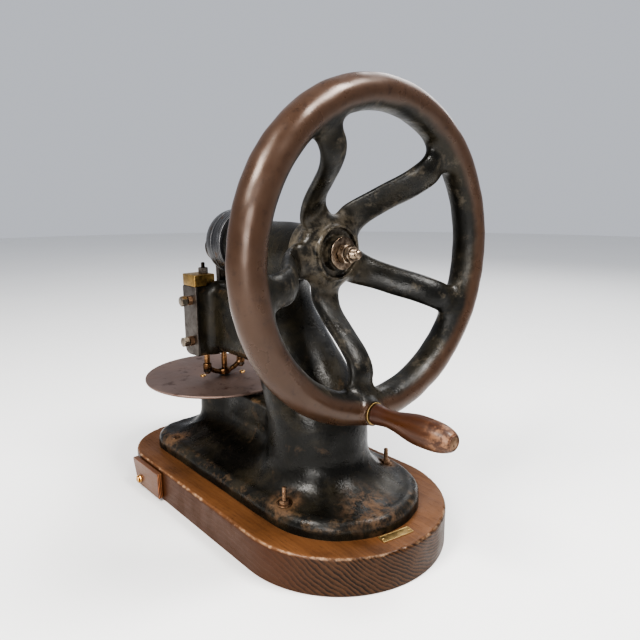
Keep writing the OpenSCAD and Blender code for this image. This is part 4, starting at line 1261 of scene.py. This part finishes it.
def make_shaft():
    """Shaft with a screw thread at the wheel's end, then its washer, nut and lock nut."""
    crank_x1 = high("crank_disc").x
    start, end = low("shaft").x, high("shaft").x
    journal_r = 16 * MM
    thread_x = HUB_FACE_X + 6.5 * MM
    plain = [
        (12 * MM, start), (SHAFT_R, start + 1 * MM), (SHAFT_R, crank_x1), (journal_r, crank_x1),
        (journal_r, HUB_X0 - 0.3 * MM), (SHAFT_R, HUB_X0 - 0.2 * MM), (SHAFT_R, HUB_FACE_X - 0.6 * MM),
        (THREAD_R, HUB_FACE_X - 0.5 * MM), (THREAD_R, HUB_FACE_X + 6 * MM),
    ]
    shaft = threaded("shaft", "X", SHAFT_AXIS, THREAD_R, thread_x, end, 1.4 * MM, plain, tip=6 * MM, sides=64)
    add_piece(shaft, "main_shaft", "flywheel", "hub_iron", "shaft")
    ring_low, ring_high = low("hub_washer").x, high("hub_washer").x
    ring = washer("ring", "X", SHAFT_AXIS, 20.4 * MM, THREAD_R, ring_low, ring_high, 0.8 * MM)
    add_piece(ring, "shaft_washer", "flywheel", "hub_iron", "hub_washer")
    for node, flats, turn in (("hub_nut", 22 * MM, 0.0), ("lock_nut", 19 * MM, 0.2)):
        nut = hexagon("nut", "X", SHAFT_AXIS, flats, low(node).x, high(node).x, THREAD_R, turn)
        add_piece(nut, node + "_hex", "flywheel", "hub_iron", node)


def make_crank():
    """Drum-shaped disc with a rounded face and fine turned grooves, and its pin."""
    start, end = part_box("crank_disc")
    radius = end.y
    face_r = 25 * MM
    drum_x = start.x + 26 * MM
    profile = [(8 * MM, start.x), (face_r - 3 * MM, start.x)]
    for a in np.radians(np.arange(0, 91, 6)):
        profile.append((face_r + (radius - face_r) * math.sin(a), drum_x - (drum_x - start.x) * math.cos(a)))
    for groove_x in (drum_x + 5 * MM, end.x - 6 * MM):
        for offset, depth in ((-0.6, 0), (-0.3, 0.35), (0.3, 0.35), (0.6, 0)):
            profile.append((radius - depth * MM, groove_x + offset * MM))
    profile += [(radius, end.x - 1 * MM), (radius - 1 * MM, end.x), (17 * MM, end.x)]
    disc = lathe("disc", "X", SHAFT_AXIS, profile, sides=144)
    pin_x = (start.x + end.x) / 2
    cuts = [
        rod_cut("X", SHAFT_AXIS, SHAFT_R, start.x + 5.8 * MM, end.x + PAST),
        rod_cut("X", PIN_AXIS, PIN_R, start.x - PAST, start.x + 5.3 * MM),
        rod_cut("Z", (pin_x, 0, 0), 2.5 * MM, SHAFT_Z - 60 * MM, SHAFT_Z + 60 * MM, 32),
    ]
    add_piece(carve(disc, cuts), "crank", "flywheel", "crank_iron", "crank_disc")
    pin_low, pin_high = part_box("crank_pin")
    front, back = RAM_X - 6.4 * MM, RAM_X + 6.3 * MM
    collar_r = 10 * MM
    profile = rounded(
        [
            (6 * MM, pin_low.x, 0), (collar_r, pin_low.x, 1 * MM), (collar_r, front, 0.4 * MM),
            (PIN_R, front, 0), (PIN_R, back, 0), (collar_r, back, 0.4 * MM), (collar_r, start.x, 0),
            (PIN_R, start.x, 0), (PIN_R, pin_high.x, 0),
        ]
    )
    add_piece(lathe("pin", "X", PIN_AXIS, profile), "throw_pin", "flywheel", "turned_steel", "crank_pin")


def make_handle():
    """Turned wooden grip, its spindle and the ring at its root."""
    start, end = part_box("handle_grip")
    length = end.x - start.x
    big = end.y - HANDLE.y
    neck = 10.5 * MM
    bore = 4.6 * MM
    recess_r = 7.8 * MM
    recess_x = end.x - 3.9 * MM

    def radius_at(t):
        """The grip's radius at that share of its length: root, waist and swell, then the free end."""
        if t < 0.18:
            return neck + 2 * MM * math.cos(math.pi / 2 * t / 0.18) ** 2
        if t < 0.62:
            return neck + (big - neck) * math.sin(math.pi / 2 * (t - 0.18) / 0.44) ** 2
        return big * math.sqrt(1 - 0.74 * ((t - 0.62) / 0.38) ** 3)

    profile = [(bore, start.x), (11 * MM, start.x)]
    steps = 60
    for i in range(1, steps):
        t = i / steps
        bead = 0.35 * MM * math.exp(-(((t - 0.055) / 0.008) ** 2))
        profile.append((radius_at(t) - bead, start.x + length * t))
    tip_r = radius_at(1)
    for a in np.radians(np.arange(0, 91, 15)):
        profile.append((tip_r - 1.2 * MM * (1 - math.cos(a)), end.x - 1.2 * MM * (1 - math.sin(a))))
    profile += [(recess_r, end.x - 0.2 * MM), (recess_r, recess_x), (bore, recess_x)]
    grip = lathe("grip", "X", HANDLE_AXIS, profile, closed=True, sides=128)
    add_piece(grip, "grip", "handle", "grip_wood", "handle_grip")
    inner_x, head_x = low("handle_spindle").x, high("handle_spindle").x
    seat_x = head_x - 3 * MM
    head_r = 7.5 * MM
    profile = rounded(
        [
            (3.8 * MM, inner_x, 0), (SPINDLE_R, inner_x + 1 * MM, 0), (SPINDLE_R, seat_x, 0),
            (head_r, seat_x, 0.3 * MM), (head_r, head_x, 0.8 * MM), (1 * MM, head_x, 0),
        ]
    )
    spindle = lathe("spindle", "X", HANDLE_AXIS, profile, sides=64)
    add_piece(spindle, "spindle", "flywheel", "rusty_steel", "handle_spindle")
    ring_low, ring_high = low("handle_washer").x, high("handle_washer").x
    ring = washer("ring", "X", HANDLE_AXIS, 13.5 * MM, bore, ring_low, ring_high, 0.5 * MM)
    add_piece(ring, "root_ring", "flywheel", "mark_brass", "handle_washer")


# ---------------------------------------------------------------- link, ram, foot and springs


def make_ram():
    """The link from the crank, the ram's stem below the head, and the punch."""
    link = sculpt("link", pitman_distance, low("pitman"), high("pitman"), 1.0 * MM)
    cuts = [
        rod_cut("X", PIN_AXIS, 7.1 * MM, RAM_X - 20 * MM, RAM_X + 20 * MM),
        rod_cut("X", (0, 0, WRIST_Z), 4 * MM, RAM_X - 20 * MM, RAM_X + 20 * MM, 32),
    ]
    add_piece(carve(link, cuts), "link", "pitman", "dark_steel", "pitman")
    start, end = low("ram_rod").z, high("ram_rod").z
    corners = [
        (2.6 * MM, start, 0), (ROD_R, start, 0.8 * MM), (ROD_R, start + 7 * MM, 0.3 * MM),
        (4 * MM, start + 8 * MM, 0.3 * MM), (ROD_R, start + 9 * MM, 0.3 * MM), (ROD_R, end, 0.5 * MM),
        (1 * MM, end, 0),
    ]
    rod = lathe("rod", "Z", RAM_AXIS, rounded(corners), sides=48)
    add_piece(rod, "ram_stem", "ram", "foot_bronze", "ram_rod")
    start, end = low("punch").z, high("punch").z
    corners = [(2.2 * MM, start, 0), (2.5 * MM, start + 0.3 * MM, 0), (2.5 * MM, end, 0)]
    tip = lathe("tip", "Z", RAM_AXIS, rounded(corners), sides=48)
    add_piece(tip, "punch_tip", "ram", "turned_steel", "punch")


def make_foot():
    """Sprung foot: two rods with collars, a bow between them, and the nuts above and below."""
    rod_low, rod_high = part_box("foot_rods")
    foot_low, foot_high = low("foot_nuts").z, high("foot_nuts").z
    top_low, top_high = low("rod_top_nuts").z, high("rod_top_nuts").z
    collar_z0, collar_z1 = 246 * MM, 250 * MM
    thread_z = top_low + 2.2 * MM
    plain = rounded(
        [
            (3.6 * MM, rod_low.z, 0), (ROD_R, rod_low.z + 1 * MM, 0.3 * MM), (ROD_R, collar_z0, 0),
            (COLLAR_R, collar_z0, 0.4 * MM), (COLLAR_R, collar_z1, 0.4 * MM), (ROD_STEM_R, collar_z1, 0),
            (ROD_STEM_R, top_low + 2 * MM, 0),
        ]
    )
    rods, lower, upper = [], [], []
    for here, turn in zip(RODS, (0.2, 0.7)):
        rod = threaded(
            "rod", "Z", here, ROD_STEM_R, thread_z, rod_high.z, 0.9 * MM, plain, tip=1.5 * MM, sides=40
        )
        rods.append(rod)
        lower.append(hexagon("nut", "Z", here, 11 * MM, foot_low, foot_high, ROD_R, turn))
        upper.append(hexagon("nut", "Z", here, 13 * MM, top_low, top_high, ROD_STEM_R, turn))
    add_piece(join(rods), "rods", "foot", "foot_bronze", "foot_rods")
    add_piece(join(lower), "rod_nuts_low", "foot", "dark_steel", "foot_nuts")
    add_piece(join(upper), "rod_nuts_top", "foot", "plate_steel", "rod_top_nuts")
    yoke = sculpt("yoke", yoke_distance, low("foot_yoke"), high("foot_yoke"), 0.7 * MM)
    cuts = [rod_cut("Z", RAM_AXIS, 5.2 * MM, rod_low.z - 20 * MM, rod_low.z + 20 * MM, 48)]
    for here in RODS:
        cuts.append(rod_cut("Z", here, ROD_R, rod_low.z - PAST, rod_low.z + 30 * MM, 48))
        cuts.append(rod_cut("Z", here, 7 * MM, rod_low.z - PAST, foot_high, 48))
    add_piece(carve(yoke, cuts), "bow", "foot", "foot_bronze", "foot_yoke")


def make_springs():
    """Two coil springs in the head's pockets, hung from the caps."""
    bottom, top = low("foot_springs"), high("foot_springs")
    coil_r, turns = 6.4 * MM, 8
    wire_r = (top.x - bottom.x) / 2 - coil_r
    share = np.linspace(0, 1, turns * 24 + 1)
    radial = np.stack([np.cos(math.tau * turns * share), np.sin(math.tau * turns * share), 0 * share], -1)
    lift = bottom.z + wire_r + share * (top.z - bottom.z - 2 * wire_r)
    around = np.linspace(0, math.tau, 12, endpoint=False)[None, :, None]
    coils = []
    section = wire_r * (np.cos(around) * radial[:, None, :] + np.sin(around) * np.array((0, 0, 1)))
    for rod in RODS:
        wire = np.array(rod) + radial * coil_r
        wire[:, 2] = lift
        coils.append(loft("coil", wire[:, None, :] + section))
    springs = join(coils)
    springs.name = "springs"
    dress(springs, "spring_steel")
    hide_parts("foot_springs")
    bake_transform(springs)


def dress_hidden():
    """The CAD pieces that stay as they are get their finish."""
    slots = {
        "shaft_key": "dark_steel", "crank_disc_pin": "dark_steel", "wrist_pin": "turned_steel",
        "ram_slide": "dark_steel", "drawer_tray": "tray_wood",
    }
    for node, slot_name in slots.items():
        dress(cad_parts[node], slot_name)


# ---------------------------------------------------------------- camera, light and floor


def aim_camera():
    """The photo's camera: where it stands, which way it looks, and its lens."""
    spot = (0.63946, -0.49924, 0.45160)
    yaw, pitch, roll = 0.719, 0.215, -0.003
    ahead = Vector((-math.cos(yaw) * math.cos(pitch), math.sin(yaw) * math.cos(pitch), -math.sin(pitch)))
    right = ahead.cross(Vector((0, 0, 1))).normalized()
    up = right.cross(ahead)
    turned_right = right * math.cos(roll) + up * math.sin(roll)
    turned_up = up * math.cos(roll) - right * math.sin(roll)
    camera = bpy.data.objects.new("camera", bpy.data.cameras.new("camera"))
    camera.data.lens = 33.196
    camera.data.sensor_width = 36
    turn = Matrix((turned_right, turned_up, -ahead)).transposed().to_4x4()
    camera.matrix_world = Matrix.Translation(spot) @ turn
    bpy.context.scene.collection.objects.link(camera)
    bpy.context.scene.camera = camera


def add_lamp(name, spot, size, power, tint=(1, 1, 1)):
    """A round soft lamp that points at the machine."""
    lamp = bpy.data.lights.new(name, "AREA")
    lamp.shape = "DISK"
    lamp.size = size
    lamp.energy = power
    lamp.color = tint
    obj = bpy.data.objects.new(name, lamp)
    obj.location = spot
    aim = Vector((0, 0, 0.2)) - Vector(spot)
    obj.rotation_mode = "QUATERNION"
    obj.rotation_quaternion = aim.to_track_quat("-Z", "Y")
    bpy.context.scene.collection.objects.link(obj)


def light_room():
    """Soft daylight from the room, and five lamps."""
    world = bpy.data.worlds.new("room")
    world.use_nodes = True
    background = world.node_tree.nodes["Background"].inputs
    background["Color"].default_value = (0.90, 0.93, 1.0, 1)
    background["Strength"].default_value = 0.50
    bpy.context.scene.world = world
    add_lamp("key", (0.15, -1.7, 2.15), 1.0, 64, (1.0, 0.97, 0.92))
    add_lamp("top", (0.84, 0.36, 1.70), 0.7, 34, (1.0, 0.98, 0.95))
    add_lamp("window", (1.28, -1.85, 0.80), 1.15, 32, (1.0, 0.98, 0.95))
    add_lamp("fill", (2.0, -0.2, 1.8), 1.8, 1.5, (0.93, 0.96, 1.0))
    add_lamp("back", (-0.6, 2.0, 1.8), 1.6, 16)
    bpy.context.scene.view_settings.look = "AgX - High Contrast"


def add_floor():
    """A wide plain floor under the machine."""
    floor = lathe("floor", "Z", (0, 0, 0), [(6.0, -0.02), (6.0, 0.0)], sides=96)
    floor.data.materials.append(floor_paper())


make_base()
make_drawer()
make_casting()
make_base_fixings()
make_nameplate()
make_bushes()
make_table()
make_head()
make_wheel()
make_shaft()
make_crank()
make_handle()
make_ram()
make_foot()
make_springs()
dress_hidden()
aim_camera()
light_room()
add_floor()
